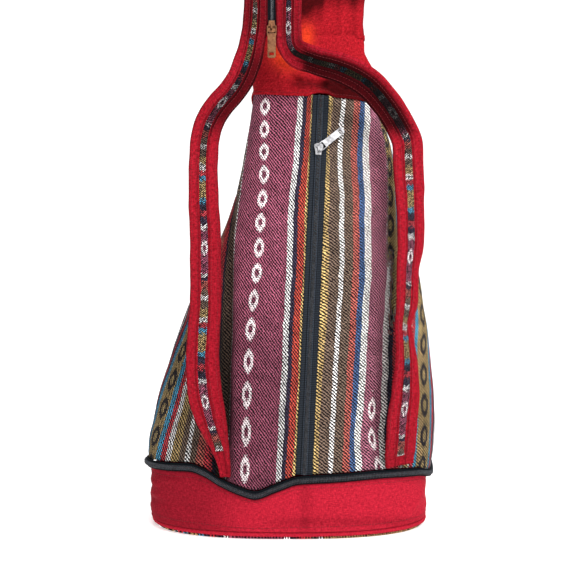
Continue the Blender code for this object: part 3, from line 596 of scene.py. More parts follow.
def metal(name, bright, dull, low, high, dirt):
    """Cast metal with fine scratches and dull places."""
    p = Paint(name)
    where = p.place()
    stretch = p.put("ShaderNodeMapping", {"Vector": where, "Scale": (300.0, 900.0, 3200.0)}).outputs[0]
    scratch = p.grain(stretch, 1.0, 3.0, 0.7)
    cloud = p.grain(where, 260.0, 3.0, 0.6)
    colour = p.blend(p.span(cloud, 0.38, 0.68), bright, dull)
    colour = p.blend(p.times(p.span(scratch, 0.62, 0.78), dirt), colour, (0.06, 0.05, 0.04))
    return p.done(colour, p.span(cloud, 0.3, 0.7, low, high), p.bump(scratch, 0.00006, 0.5),
                  Metallic=1.0)


def thread(name, colour):
    p = Paint(name)
    twist = p.grain(p.place(), 1500.0, 1.0)
    shade = p.blend(p.span(twist, 0.35, 0.7), scaled(colour, 0.55), scaled(colour, 1.25))
    return p.done(shade, p.span(twist, 0.3, 0.7, 0.7, 0.9), p.bump(twist, 0.0001, 0.5))


RINGS = ("rings", (0.13, 0.034, 0.058), (0.42, 0.37, 0.38), 0.36)
LOOPS = ("loops", (0.25, 0.18, 0.08), (0.010, 0.009, 0.011), 0.38)
CLOTH_LEFT = woven("woven_left", LEFT_BANDS, LEFT_REACH, (RINGS, LOOPS), hand=-1.0)
CLOTH_RIGHT = woven("woven_right", RIGHT_BANDS, RIGHT_REACH, (RINGS, LOOPS), first=9.0,
                    pace=(3.9, 3.25))
CLOTH_BACK = woven("woven_back", BACK_BANDS, BACK_REACH, (RINGS, LOOPS), first=0.0)
TRIM_CLOTH = woven("woven_trim_cloth", TRIM_BANDS, TRIM_REACH, (RINGS,), turned=True, wrap=True,
                   first=0.0, pace=(2.1, 2.6), broken=2.6)
RED_STRAP = canvas("canvas_strap", (0.285, 0.0045, 0.013), (0.130, 0.0015, 0.005),
                   (0.44, 0.014, 0.030))
RED_BAND = canvas("canvas_band", (0.460, 0.0120, 0.034), (0.250, 0.0050, 0.016),
                  (0.62, 0.022, 0.046), mottled=0.16)
RED_YOKE = canvas("canvas_yoke", (0.350, 0.0060, 0.013), (0.160, 0.0015, 0.005),
                  (0.50, 0.016, 0.026))
BLACK_TAPE = tape("black_ribbed_tape", deep=0.30)
RIDGED_TAPE = tape("black_ridged_tape", lines=True)
BLACK_COIL = coil_plastic("black_zip_coil")
SILVER = metal("bare_silver", (0.34, 0.34, 0.355), (0.17, 0.17, 0.18), 0.38, 0.58, 0.6)
BRASS = metal("aged_brass", (0.26, 0.12, 0.06), (0.10, 0.04, 0.025), 0.30, 0.52, 0.8)
RED_THREAD = thread("red_thread", (0.20, 0.007, 0.015))
DARK_THREAD = thread("dark_thread", (0.050, 0.020, 0.028))


# Cloth panels between the base zip and the yoke

LADDER = np.linspace(hz(90), hz(1040), 200)
LINES = outline(LADDER)
RUNS = [distances(line) for line in LINES]
TOTAL = np.array([run[-1] for run in RUNS])
LOW_GAP, HIGH_LAP = 0.0006, 0.0004
BACK_EDGES = (0.17, 0.83)


def front_runs(x_at):
    """Distance along each outline at which its front passes x_at(height)."""
    return np.array([front_at(line, run, x_at(z)) for line, run, z in zip(LINES, RUNS, LADDER)])


ZIP_RUN = front_runs(zip_x)
SLOT_LEFT = front_runs(lambda z: zip_x(z) - FRONT_SLOT / 2)
SLOT_RIGHT = front_runs(lambda z: zip_x(z) + FRONT_SLOT / 2)
FOLD_RUN = front_runs(lambda z: wx(smooth(CREASE, 1, 1000 * z / BODY_HEIGHT)))
BACK_LEFT, BACK_RIGHT = (np.array([back_at(line, run, share) for line, run in zip(LINES, RUNS)])
                         for share in BACK_EDGES)

# Height in mm, distance from the zip line in mm
RING_PLACES = ((71.8, 59.3), (108.1, 60.1), (145.7, 61.5), (178.7, 61.7), (211.1, 61.4),
               (240.7, 59.8), (268.6, 58.1), (294.6, 57.2), (321.4, 57.5), (346.2, 56.9),
               (372.9, 56.6), (397.7, 58.8), (421.4, 59.7), (446.5, 60.1), (470.0, 60.5))


def panel(start, end, columns, rows):
    """Grid of points (upwards, along) between two upright edges, with distances along from start."""
    shares = np.linspace(0, 1, columns + 1)
    spots = np.empty((len(LADDER), columns + 1, 3))
    for k, (line, run) in enumerate(zip(LINES, RUNS)):
        at = start[k] + (end[k] - start[k]) * shares
        spots[k, :, :2] = along(at % run[-1], run, line)
        spots[k, :, 2] = at
    grid = np.empty((rows + 1, columns + 1, 3))
    at = np.empty((rows + 1, columns + 1))
    for i in range(columns + 1):
        foot, top = (along(hz(mark), LADDER, spots[:, i, :2]) for mark in (160, 990))
        z = np.linspace(lip_height(*foot) + BASE_TAPES / 2 + LOW_GAP, seam_height(*top) + HIGH_LAP,
                        rows + 1)
        grid[:, i, 0], grid[:, i, 1], at[:, i] = along(z, LADDER, spots[:, i]).T
        grid[:, i, 2] = z
    return grid, at


def drape(grid, edge_first, edge_last, seed, extra=0.0):
    """Push a panel in and out of its own face: slack, puckers at its seams, rolled edges."""
    low = np.linalg.norm(grid - grid[:1], axis=-1)
    high = np.linalg.norm(grid - grid[-1:], axis=-1)
    ends = ease(0.0, 0.018, low) * ease(0.0, 0.016, high)
    slack = 1.25 * MM * noise(grid, (0.034, 0.034, 0.080), seed)
    slack += 0.55 * MM * noise(grid, (0.015, 0.015, 0.034), seed + 1)
    slack += 0.22 * MM * noise(grid, (0.006, 0.006, 0.012), seed + 2)
    sides = 1.0
    total = np.zeros(grid.shape[:2])
    for edge, column in ((edge_first, 0), (edge_last, -1)):
        away = np.linalg.norm(grid - grid[:, [column]], axis=-1)
        sides = sides * ease(0.0, 0.008, away)
        if edge:
            wave = noise(grid * (0, 0, 1), 0.0165, seed + 5) * np.exp(-away / 0.012)
            total += 0.85 * MM * wave + 0.75 * MM * bell(away, 0.0020, 0.0015)
    gather = noise(grid * (1, 1, 0), 0.0085, seed + 7) * np.exp(-low / 0.020)
    total += 0.9 * MM * gather * ease(0.0, 0.004, low)
    total += slack * ends * sides + extra * ends
    total *= ease(-0.001, 0.004, low) * ease(-0.001, 0.004, high)
    return grid + normals(grid) * total[..., None]


RING_Z = np.array([row[0] for row in RING_PLACES]) / 1000.0
RING_U = np.array([row[1] for row in RING_PLACES])
RING_INDEX = np.arange(len(RING_Z)) + 0.5


def ring_count(z):
    low = RING_INDEX[0] + (z - RING_Z[0]) / (RING_Z[1] - RING_Z[0])
    return np.where(z < RING_Z[0], low, np.interp(z, RING_Z, RING_INDEX))


def picture(points):
    """Places as they lie side by side and above each other when the front is looked at, in pixels."""
    far = (points[..., 1] - EYE[1]) / FOCAL
    return MIDDLE + points[..., 0] / far, MIDDLE - (points[..., 2] - EYE[2]) / far


def sew(side, paint, grid, u, z, rings, loops, painted_shade=0.0):
    """Build a cloth panel with its UV layers, its painted shade, its thickness and its material."""
    obj = build("cloth_%s_sewn" % side, grid, uvs={
        "weave": joined(u / UV_MM, z * UV_PER_M), "rings": rings, "loops": loops,
        "painted_shade": joined(np.clip(painted_shade, 0, 0.85) + 0 * u, 0.0)})
    thicken(obj, CLOTH_THICK)
    finish_piece(obj, paint, "woven_cotton", "cloth_" + side)


# Left panel
FAN_FROM = 460
grid, at = panel(SLOT_LEFT, BACK_LEFT, 112, 176)
z = grid[..., 2]
zip_run = np.interp(z, LADDER, ZIP_RUN)
away = (at - zip_run) * 1000.0
fold = (np.interp(z, LADDER, FOLD_RUN) - zip_run) * 1000.0
fan = np.clip(1 - (FAN_FROM - picture(grid)[1]) * 0.0041, 0.42, 1.0)
near = np.minimum(fold - 12, 88.0)
u = np.where(away < fold - 12, np.minimum(away, 90.0),
             np.where(away < fold + 1, near + (away - fold + 12) / 13.0 * (95.0 - near),
                      95.0 + (away - fold - 1) * 0.78 / fan))
# Painted shade: at the top, past the crease, the stripes shift so that a dark stripe lies where the edge
# falls into shade
u = u + 5.5 * ease(0.335, 0.355, z) * ease(fold - 2, fold + 1, away)
half = np.interp(z, (0.08, 0.20, 0.44), (4.6, 4.9, 5.8))
# Painted shade: darker in and beside the crease valley, and darker towards the bottom away from the zip
painted_shade = 0.62 * bell(away, fold + 5.0, 8.0) * ease(0.40, 0.30, z)
painted_shade += 0.30 * ease(0.27, 0.17, z) * ease(14.0, 24.0, away)
painted_shade += 0.30 * bell(away, fold - 6.0, 6.0) * ease(0.20, 0.12, z)
wander = 0.9 * noise(grid, (0.12, 0.12, 0.055), 17)
wander += 4.2 * ease(0.330, 0.455, z) * ease(7.0, 16.0, away) * ease(60.0, 30.0, away)
valley = -5.5 * MM * bell(away, fold, 7.0) * ease(0.375, 0.30, z) * ease(0.078, 0.10, z)
left_grid = drape(grid, True, False, 11, valley)
sew("left", CLOTH_LEFT, left_grid, u + wander, z,
    joined((u - np.interp(z, RING_Z, RING_U)) / half, ring_count(z)),
    joined((u - 167.6) / 6.8, (z - 0.0965) / 0.030 + 0.5), painted_shade)

# Right panel
TUCK_EDGE = 83.5
grid, at = panel(BACK_RIGHT, SLOT_RIGHT + TOTAL, 96, 176)
z = grid[..., 2]
away = (np.interp(z, LADDER, ZIP_RUN + TOTAL) - at) * 1000.0
sunk = -3.2 * MM * bell(away, 76.0, 5.0) * ease(0.11, 0.16, z) * ease(0.29, 0.20, z)
edge = np.interp(z, (0.386, 0.450), (78.0, 66.0))
tucked = (away > TUCK_EDGE) & (away < TUCK_EDGE + 14.0 * ease(0.200, 0.262, z))
pleat = (away > edge) & (away < edge + 26.0 * ease(0.270, 0.345, z))
u = np.where(tucked, 136.0 - (away - TUCK_EDGE), away)
u = np.where(pleat, 143.0 - (away - edge) * 1.2, u)
u = u + 8.0 * ease(98.0, 104.0, away) + 1.3 * noise(grid, (0.12, 0.12, 0.045), 37)
u = u + 3.0 * ease(40.0, 54.0, away) * ease(96.0, 70.0, away) * bell(z, 0.105, 0.020)
strayed = np.interp(z, (0.070, 0.136, 0.240, 0.300, 0.345, 0.370, 0.450),
                    (2.0, 2.4, 4.0, 4.4, 2.0, -0.8, -1.0))
u = u - strayed * ease(6.0, 20.0, away) * ease(80.0, 58.0, away)
# Painted shade: darker in the fold of the tuck, and darker towards the bottom on the outer side
painted_shade = 0.50 * bell(away, 84.0, 5.0) * ease(0.12, 0.18, z) * ease(0.42, 0.36, z)
painted_shade += 0.24 * ease(0.20, 0.12, z) * ease(62.0, 76.0, away)
half = np.interp(z, (0.08, 0.15), (4.3, 4.6))
column = np.interp(z, (0.07, 0.10, 0.13), (76.5, 69.0, 65.4)) - np.where(z < 0.150, 0.0, 900.0)
right_grid = drape(grid, False, True, 31, sunk)
sew("right", CLOTH_RIGHT, right_grid, u, z,
    joined((u - column) / half, (z - 0.0712) / 0.0295 + 0.5),
    joined((u - 139.4) / 6.4, (z - 0.0988) / 0.0315 + 0.5), painted_shade)

# Back panel
grid, at = panel(BACK_LEFT, BACK_RIGHT, 84, 150)
z = grid[..., 2]
u = (at - np.interp(z, LADDER, (BACK_LEFT + BACK_RIGHT) / 2)) * 1000.0 + 108.0
u = u + 1.5 * noise(grid, (0.12, 0.12, 0.06), 57)
sew("back", CLOTH_BACK, drape(grid, False, False, 51), u, z,
    joined((u - 196.0) / 5.4, z / 0.029 + 0.3), joined((u - 98.5) / 5.6, z / 0.0315 + 0.1))


# Straps

def path(stations, count):
    """Even frames along a smooth path as arrays: centre, side, normal, width, distance."""
    centres = np.array([s[0] for s in stations], float)
    sides = unit(np.array([s[1] for s in stations], float))
    run = distances(centres)
    table = [[r, *c, *s, w[2]] for r, c, s, w in zip(run, centres, sides, stations)]
    at = run[-1] * np.arange(count + 1) / count
    rows = np.stack([smooth(table, k, at) for k in range(1, 8)], axis=1)
    centre = rows[:, 0:3]
    ahead = unit(np.gradient(centre, axis=0))
    side = square_to(rows[:, 3:6], ahead)
    return {"centre": centre, "side": side, "normal": np.cross(ahead, side), "width": rows[:, 6],
            "gone": distances(centre)}


def cut(frames, first, last):
    return {key: value[first:last] for key, value in frames.items()}


SPLIT_X = wx(-60)
FRONT_Y = dy(-433)
SPLIT_Z = STRAP_TOP + FRONT_Y / 2
HALF_TOP = SPLIT_Z - 0.0126


def strap_rows(table):
    """Stations of a strap half, with the first at its cut. A side is a direction or a turn."""
    rows = []
    for k, (x, height, y, width, side) in enumerate(table):
        z = hz(height) if k else HALF_TOP
        if k and z > HALF_TOP - 0.01:
            continue
        if not isinstance(side, tuple):
            side = (math.cos(math.radians(side)), math.sin(math.radians(side)), 0)
        rows.append(((wx(x), dy(y) + STRAP_THICK / 2, z), side, width / 1000.0))
    return rows


def hold_edge(frames, inner):
    """Keep the inner edge of a half straight beside the strap zip."""
    edge = SPLIT_X + inner * STRAP_SLOT / 2
    share = np.clip((frames["centre"][:, 2] - hz(1100)) / hz(40), 0, 1)
    outer = frames["centre"][:, 0] + inner * frames["width"] / 2
    frames["centre"][:, 0] = frames["centre"][:, 0] * (1 - share) + (edge + outer) / 2 * share
    frames["width"] = frames["width"] * (1 - share) + np.abs(outer - edge) * share
    return frames


def band_points(frames, across, height):
    """Points at side offset across and normal offset height, both (frame, place) arrays."""
    return (frames["centre"][:, None] + frames["side"][:, None] * across[..., None]
            + frames["normal"][:, None] * height[..., None])


def cap(obj):
    """Close the open ends of a tube with faces."""
    mesh = bmesh.new()
    mesh.from_mesh(obj.data)
    rims = [e for e in mesh.edges if e.is_boundary]
    bmesh.ops.holes_fill(mesh, edges=rims, sides=0)
    mesh.to_mesh(obj.data)
    mesh.free()
    return obj


def unevenness(spot, seed, warp):
    """Soft waves of a strap's face, and finer ones over them."""
    return (warp * MM * noise(spot, (0.016, 1.0, 0.034), seed)
            + 0.16 * MM * noise(spot, (0.004, 1.0, 0.007), seed + 1))


def stitches(name, line, out, paint, pace=0.0031, length=0.0021, thick=0.00034):
    """Row of thread stitches that arch over the cloth along a line of points."""
    run = distances(line)
    middles = np.arange(0.5 * pace, run[-1] - 0.5 * pace, pace)
    rings = []
    for off, up in ((-0.5, -0.35), (-0.28, 0.35), (0.28, 0.35), (0.5, -0.35)):
        place, face = (along(middles + off * length, run, rows) for rows in (line, out))
        rings.append((place + face * up * thick, face))
    ahead = unit(rings[-1][0] - rings[0][0])
    verts = []
    for place, face in rings:
        side = np.cross(ahead, face)
        verts += [place + (side * a + face * b) * thick / 2
                  for a, b in ((-1, -0.6), (1, -0.6), (0.7, 0.8), (-0.7, 0.8))]
    verts = np.stack(verts, axis=1).reshape(-1, 3)
    one = [(4 * k + i, 4 * k + (i + 1) % 4, 4 * k + 4 + (i + 1) % 4, 4 * k + 4 + i)
           for k in range(3) for i in range(4)] + [(3, 2, 1, 0), (12, 13, 14, 15)]
    faces = (np.array(one)[None] + 16 * np.arange(len(middles))[:, None, None]).reshape(-1, 4)
    mesh = bpy.data.meshes.new(name)
    mesh.from_pydata(verts.tolist(), [], faces.tolist())
    mesh.polygons.foreach_set("use_smooth", np.ones(len(mesh.polygons), dtype=bool))
    mesh.materials.append(paint)
    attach(add_object(name, mesh), "bag")


def flat_tube(name, frames, shape, seed, painted_shade, tops=34, unders=14, warp=0.6, tuck=0.0, painted_glow=False):
    """Soft band with rounded edges. shape(s, half) lifts its front face."""
    core = STRAP_THICK / 2
    t = np.linspace(-1, 1, tops)
    t = np.sign(t) * np.abs(t) ** 0.86
    span = np.concatenate([t, np.linspace(1, -1, unders + 2)[1:-1]])[None, :]
    front = np.arange(tops + unders)[None, :] < tops
    half = frames["width"][:, None] / 2
    across = span * half
    gone = frames["gone"][:, None] + 0 * across
    rounded = np.minimum(1.0, (half - np.abs(across)) / EDGE_ROLL)
    rounded = np.sqrt(np.clip(1 - (1 - rounded) ** 2, 0, 1))
    lift = np.where(front, core + shape(across, half), -core) * rounded
    if tuck:
        lift = lift * (1 - 0.62 * ease(tuck, 0.0, gone))
    spot = joined(across, 0, gone)
    height = core + lift + unevenness(spot, seed, warp)
    across = across + 0.35 * MM * noise(spot * (0, 0, 1) + (seed, 0, 0), 0.013, seed + 2) * (
        np.abs(span) ** 6)
    points = band_points(frames, across, height)
    uv = joined(across * UV_PER_M + np.where(front, 0.0, 0.7), gone * UV_PER_M)
    # Painted warm glow, where asked for, on the faces other than the front face
    painted_glow_amount = painted_glow_places(points) * ~front if painted_glow else 0.0
    return cap(build(name, points, closed=(False, True), uvs={
        "weave": uv, "painted_shade": joined(painted_shade(points, across / half), painted_glow_amount)}))


# Where painted shade and painted warm light lie when the front is looked at, in pixels. A spot has its
# place across, breadth, height, breadth and strength. A pair says where a change begins and where it is
# complete.
PAINTED_GLOW_SPOTS = ((288, 15.0, 54, 14.0, 1.0), (307, 7.0, 36, 12.0, 0.7))
LEFT_TOP, LEFT_BEND, LEFT_BEND_TOP = (62, 20), (150, 112), (30, 66)
RIGHT_TOP, RIGHT_BEND, RIGHT_BEND_TOP, RIGHT_BEND_SIDE = (60, 25), (143, 124), (40, 56), (296, 308)
WIDE_TOP, WIDE_STREAKS, WIDE_SIDE, WIDE_SIDE_TOP = (15, -6), (62, 48), (322, 304), (30, 10)
WIDE_LINES = ((354, 3.0, 0.22), (338, 2.5, 0.16))
YOKE_LINE = ((262, 291, 330, 378), (78, 83, 85, 92))
YOKE_FROM, YOKE_RIGHT, YOKE_RIGHT_TOP, YOKE_LIT_SPOT = (284, 300), (312, 340), (66, 78), (318, 79)
BAND_LEFT, BAND_FOLD, BAND_FOOT, BAND_FOOT_FROM = (262, 196), 305, 522, (240, 300)
# Painted shade on the trims: height in the picture, and how dark
LEFT_TRIM_SHADE = ((0, 20, 70, 100, 150, 175), (0.35, 0.45, 0.72, 0.75, 0.45, 0.0))
RIGHT_TRIM_SHADE = ((0, 20, 45, 52, 126, 139, 165), (0.30, 0.40, 0.60, 0.95, 0.95, 0.30, 0.05))
LEFT_SEAT, RIGHT_SEAT = -0.03, 0.0


# Painted warm glow: pools of light painted at the warm spots
def painted_glow_places(points):
    x, y = picture(points)
    spot = sum(strong * bell(x, at_x, wide) * bell(y, at_y, tall)
               for at_x, wide, at_y, tall, strong in PAINTED_GLOW_SPOTS)
    return np.clip(spot, 0, 1) * 0.9


def seam_shade(share, seat):
    """Painted shade in the seams beside a trim."""
    return 0.55 * bell(np.abs(share - 2 * seat), 0.345, 0.045)


# Painted shade on the left strap: darker at its top, on the inner half of its bend, in the seams beside
# its trim and at its inner edge
def left_painted_shade(points, share):
    y = picture(points)[1]
    bend = (0.62 * ease(-0.5, 0.35, share) + 0.15) * ease(*LEFT_BEND, y) * ease(*LEFT_BEND_TOP, y)
    return np.clip(0.58 * ease(*LEFT_TOP, y) + bend + seam_shade(share, LEFT_SEAT)
                   + 0.25 * ease(0.75, 0.95, share), 0, 0.92)


# Painted shade on the right strap: darker at its top, over its turned-down bend except the lit outer roll,
# in the seams beside its trim and at its inner edge
def right_painted_shade(points, share):
    x, y = picture(points)
    bend = ease(*RIGHT_BEND_TOP, y) * ease(*RIGHT_BEND, y) * ease(*RIGHT_BEND_SIDE, x)
    return np.clip(0.36 * ease(*RIGHT_TOP, y) + 0.86 * bend * (1 - ease(0.50, 0.80, share))
                   + seam_shade(share, RIGHT_SEAT) + 0.25 * ease(-0.75, -0.95, share), 0, 0.92)


# Painted shade on the wide strap: darker at its top and at its left beside the front straps, streaks of
# painted fold shadow, and two dark lines of painted fold shadow
def wide_painted_shade(points, share):
    x, y = picture(points)
    shade_amount = 0.60 * ease(*WIDE_TOP, y) + 0.50 * ease(*WIDE_SIDE, x) * ease(*WIDE_SIDE_TOP, y)
    streak = noise(points * (1, 0, 0.18), 0.0085, 77) + 0.5 * noise(points * (1, 0, 0.4), 0.019, 78)
    shade_amount += 0.55 * np.clip(streak, 0, 1) * ease(*WIDE_STREAKS, y)
    shade_amount += sum(strong * bell(x, at, wide) for at, wide, strong in WIDE_LINES)
    return np.clip(shade_amount, 0, 0.85)


# Painted shade on the yoke's front: along its fold lines and in a wedge under the right strap's bend, with
# one spot lightened as a painted highlight
def yoke_painted_shade(points):
    x, y = picture(points)
    front = points[..., 1] < 0
    shade_amount = 0.66 * bell(y, np.interp(x, *YOKE_LINE), 7.0) * ease(*YOKE_FROM, x) * front
    shade_amount += 0.70 * ease(*YOKE_RIGHT, x) * ease(*YOKE_RIGHT_TOP, y) * front
    shade_amount -= 0.30 * bell(x, YOKE_LIT_SPOT[0], 6.0) * bell(y, YOKE_LIT_SPOT[1], 4.0)
    return np.clip(shade_amount, 0, 0.88)


# Painted shade on the band's front: darker to the left, in its upright fold and along a line near its foot
def band_painted_shade(points):
    x, y = picture(points)
    shade_amount = 0.40 * ease(*BAND_LEFT, x) + 0.22 * bell(x, BAND_FOLD, 5.0)
    shade_amount += 0.25 * bell(y, BAND_FOOT, 5.0) * ease(*BAND_FOOT_FROM, x)
    return np.clip(shade_amount * (points[..., 1] < 0), 0, 0.8)


def half_shape(seat):
    """Front face of a strap half: rolled edges, and a lane for the trim between two low ridges."""
    def shape(s, half):
        off = s - 2 * half * seat
        lane = TRIM_WIDTH / 2
        return (0.00055 * bell(half - np.abs(s), 0.0022, 0.0013)
                + 0.00075 * bell(np.abs(off), lane + 0.0010, 0.0009)
                - 0.00075 * np.exp(-(off / lane) ** 6))
    return shape


def strap_half(side, frames, seat, seed, painted_shade, end):
    """One strap, its two rows of stitches near its edges and one on each side of its trim."""
    shape = half_shape(seat)
    strap = flat_tube("strap_%s_soft" % side, frames, shape, seed, painted_shade)
    finish_piece(strap, RED_STRAP, "red_canvas", "strap_" + side)
    seen = cut(frames, 5, end)
    half, gone = seen["width"][:, None] / 2, seen["gone"][:, None]
    for k, share in enumerate((-0.80, 0.80, 2 * seat - 0.44, 2 * seat + 0.44)):
        across = half * share
        height = STRAP_THICK + shape(across, half) + unevenness(joined(across, 0, gone), seed, 0.6)
        stitches("strap_%s_stitches_%d" % (side, k + 1), band_points(seen, across, height)[:, 0],
                 seen["normal"], RED_THREAD)


left_frames = hold_edge(path(strap_rows(LEFT_STRAP), 300), -1)
right_frames = hold_edge(path(strap_rows(RIGHT_STRAP), 330), 1)
strap_half("left", left_frames, LEFT_SEAT, 71, left_painted_shade, 292)
strap_half("right", right_frames, RIGHT_SEAT, 81, right_painted_shade, 322)


def trim(side, strap, last, seat, start_z, widths, seed, trim_shade):
    """Woven strip that lies in the strap's lane, with its stripe sequence running along it."""
    frames = cut(strap, 7, last)
    span = np.linspace(-1, 1, 9)[None, :]
    half = np.interp(frames["gone"], *widths)[:, None] * MM / 2
    gone = frames["gone"][:, None] + 0 * span
    across = frames["width"][:, None] * seat + span * half
    height = STRAP_THICK - 0.0001 + 0.45 * MM * (1 - span ** 2) + 0 * gone
    height = height + 0.25 * MM * noise(joined(across, 0, gone), (0.004, 1.0, 0.006), seed)
    points = band_points(frames, across, height)
    start = strap["gone"][np.argmax(strap["centre"][:, 2] < start_z)]
    down = (gone - start) * 1000.0
    near = down - np.floor(down / TRIM_REACH) * TRIM_REACH - 17.5
    # The trim's painted_shade layer darkens it by height in the picture: painted shade
    obj = build("trim_%s_woven" % side, points, uvs={
        "weave": joined(span * half * UV_PER_M, down / UV_MM),
        "rings": joined(span * half * 1000.0 / 3.4 + 50.0 * (np.abs(near) > 10.0), near / 20.0 + 0.5),
        "painted_shade": joined(np.interp(picture(points)[1], *trim_shade), 0.0)})
    thicken(obj, TRIM_THICK)
    finish_piece(obj, TRIM_CLOTH, "woven_trim", "trim_" + side)


# Distance along the strap, and width in mm
LEFT_TRIM = ((0.0, 0.10, 0.16, 0.22, 0.34, 0.44), (4.4, 4.4, 5.4, 6.2, 6.8, 8.4))
RIGHT_TRIM = ((0.0, 0.08, 0.20, 0.28, 0.40, 0.50), (5.4, 5.2, 5.6, 7.2, 7.8, 8.5))
trim("left", left_frames, 287, LEFT_SEAT, 0.312, LEFT_TRIM, 91, LEFT_TRIM_SHADE)
trim("right", right_frames, 324, RIGHT_SEAT, 0.152, RIGHT_TRIM, 93, RIGHT_TRIM_SHADE)

# Wide strap from the yoke over its loop
LEVEL = (1, 0, 0)
TOP_WIDTH = 0.0600
RADIUS = -FRONT_Y / 2 - STRAP_THICK / 2
START_X, START_WIDTH = wx(RISE[-1][0]), wx(RISE[-1][3])
wide = [((wx(x), dy(y) - STRAP_THICK / 2, hz(z) - (0 if k else 0.004)), LEVEL, wx(width))
        for k, (x, z, y, width) in enumerate(RISE)]
for share in np.arange(9) / 8:
    turn = math.pi * share
    wide.append(((START_X + (SPLIT_X - START_X) * share,
                  -STRAP_THICK / 2 - RADIUS + RADIUS * math.cos(turn),
                  SPLIT_Z + RADIUS * math.sin(turn)), LEVEL,
                 START_WIDTH + (TOP_WIDTH - START_WIDTH) * share))
wide.append(((SPLIT_X, FRONT_Y + STRAP_THICK / 2, SPLIT_Z - 0.012), LEVEL, TOP_WIDTH))
wide_frames = path(wide, 170)
wide_frames["side"][:] = LEVEL
wide_frames["width"] *= 1 + 0.014 * ease(0.030, 0.004, wide_frames["gone"])


def wide_shape(s, half):
    edge = half - np.abs(s)
    return 0.0005 * bell(edge, 0.0026, 0.0015) - 0.0003 * bell(edge, 0.0062, 0.0009)


strap_wide = flat_tube("strap_wide_soft", wide_frames, wide_shape, 61, wide_painted_shade, tops=56,
                       unders=30, warp=1.1, tuck=0.018, painted_glow=True)
finish_piece(strap_wide, RED_YOKE, "red_canvas", "strap_wide")

for side, grid, column in (("left", left_grid, 1), ("right", right_grid, -2)):
    face = normals(grid)[3:-3, column]
    stitches("zip_seam_%s_stitches" % side, grid[3:-3, column] + face * THREAD_LIFT, face, DARK_THREAD,
             thick=0.00040)

# Yoke: one closed canvas cap that laps over the cloth with a hem
YOKE_COLS, YOKE_ROWS, LAP = 300, 60, 0.0030
YOKE_THICK = 0.0013
ZIP_END_X = zip_x(hz(1000))
turns = np.arange(YOKE_COLS) / YOKE_COLS
foot_line = outline(hz(SEAM_BACK), FINE_STEPS, creased=False)[0]
foot_run = distances(foot_line)
fine_z = np.linspace(hz(960), hz(1156), 90)
spots = np.stack([along(turns * distances(line)[-1], distances(line), line)
                  for line in outline(fine_z, FINE_STEPS, creased=False)])
grid = np.empty((YOKE_ROWS + 1, YOKE_COLS, 3))
for i, (x, y) in enumerate(along(turns * foot_run[-1], foot_run, foot_line)):
    at_zip = math.exp(-((x - ZIP_END_X) / 0.011) ** 4) if y < 0 else 0.0
    z = np.linspace(seam_height(x, y) - LAP * (1 - 1.5 * at_zip), hz(1154), YOKE_ROWS + 1)
    grid[:, i, :2] = along(z, fine_z, spots[:, i])
    grid[:, i, 2] = z
out = normals(grid)
x, y, z = grid[..., 0], grid[..., 1], grid[..., 2]
rise = z - z[:1]
loose = ease(hz(1150), hz(1120), z)
lift = 1.5 * MM * ease(0.012, 0.0, rise) + 0.8 * MM * bell(rise, 0.0016, 0.0014)
lift -= 0.5 * MM * bell(rise, 0.0046, 0.0009)
lift -= 1.5 * MM * np.exp(-((x - ZIP_END_X) / 0.011) ** 4) * ease(0.014, 0.008, rise) * (y < 0)
lift += 1.5 * MM * noise(grid, (0.022, 0.022, 0.016), 201) * ease(0.003, 0.014, rise) * loose
lift += 0.5 * MM * noise(grid, (0.009, 0.009, 0.007), 202) * ease(0.003, 0.010, rise) * loose


def crease_line(points, start, end, deep, breadth):
    """Inward fold along a line from start to end, both (x, z)."""
    a, b = np.array(start), np.array(end)
    place = points[..., (0, 2)]
    share = np.clip(((place - a) @ (b - a)) / ((b - a) @ (b - a)), 0, 1)
    near = np.linalg.norm(place - (a + share[..., None] * (b - a)), axis=-1)
    return deep * (0.6 * bell(near, 2.2 * breadth, breadth) - bell(near, 0.0, breadth))


lift -= 1.9 * MM * ease(hz(1096), hz(1152), z)
front = ease(0.0, -0.004, y)
for start, end, deep, breadth in (((-0.004, 0.479), (0.036, 0.4695), 2.6 * MM, 0.0028),
                                  ((0.037, 0.481), (0.058, 0.466), 2.4 * MM, 0.0028),
                                  ((-0.014, 0.4990), (0.008, 0.4760), 1.6 * MM, 0.0034)):
    lift += crease_line(grid, start, end, deep, breadth) * front
grid = grid + out * lift[..., None]
# The yoke carries painted shade and, on its front, a painted warm glow
yoke = build("yoke_sewn", grid, closed=(False, True), uvs={
    "weave": joined(turns * foot_run[-1] * UV_PER_M, grid[..., 2] * UV_PER_M),
    "painted_shade": joined(yoke_painted_shade(grid), painted_glow_places(grid) * (grid[..., 1] < 0))})
thicken(yoke, YOKE_THICK)
finish_piece(yoke, RED_YOKE, "red_canvas", "yoke_front", "yoke_back")
face = looped(out[3])
stitches("yoke_hem_stitches", looped(grid[3]) + face * THREAD_LIFT, face, RED_THREAD)


# Base: band, hem cord, woven panel, zip round the bag

HEM_Z = BASE_THICK + 0.0004 + HEM_CORD / 2
BAND_LOW = HEM_Z + HEM_CORD / 2 - 0.0004
AROUND = 420


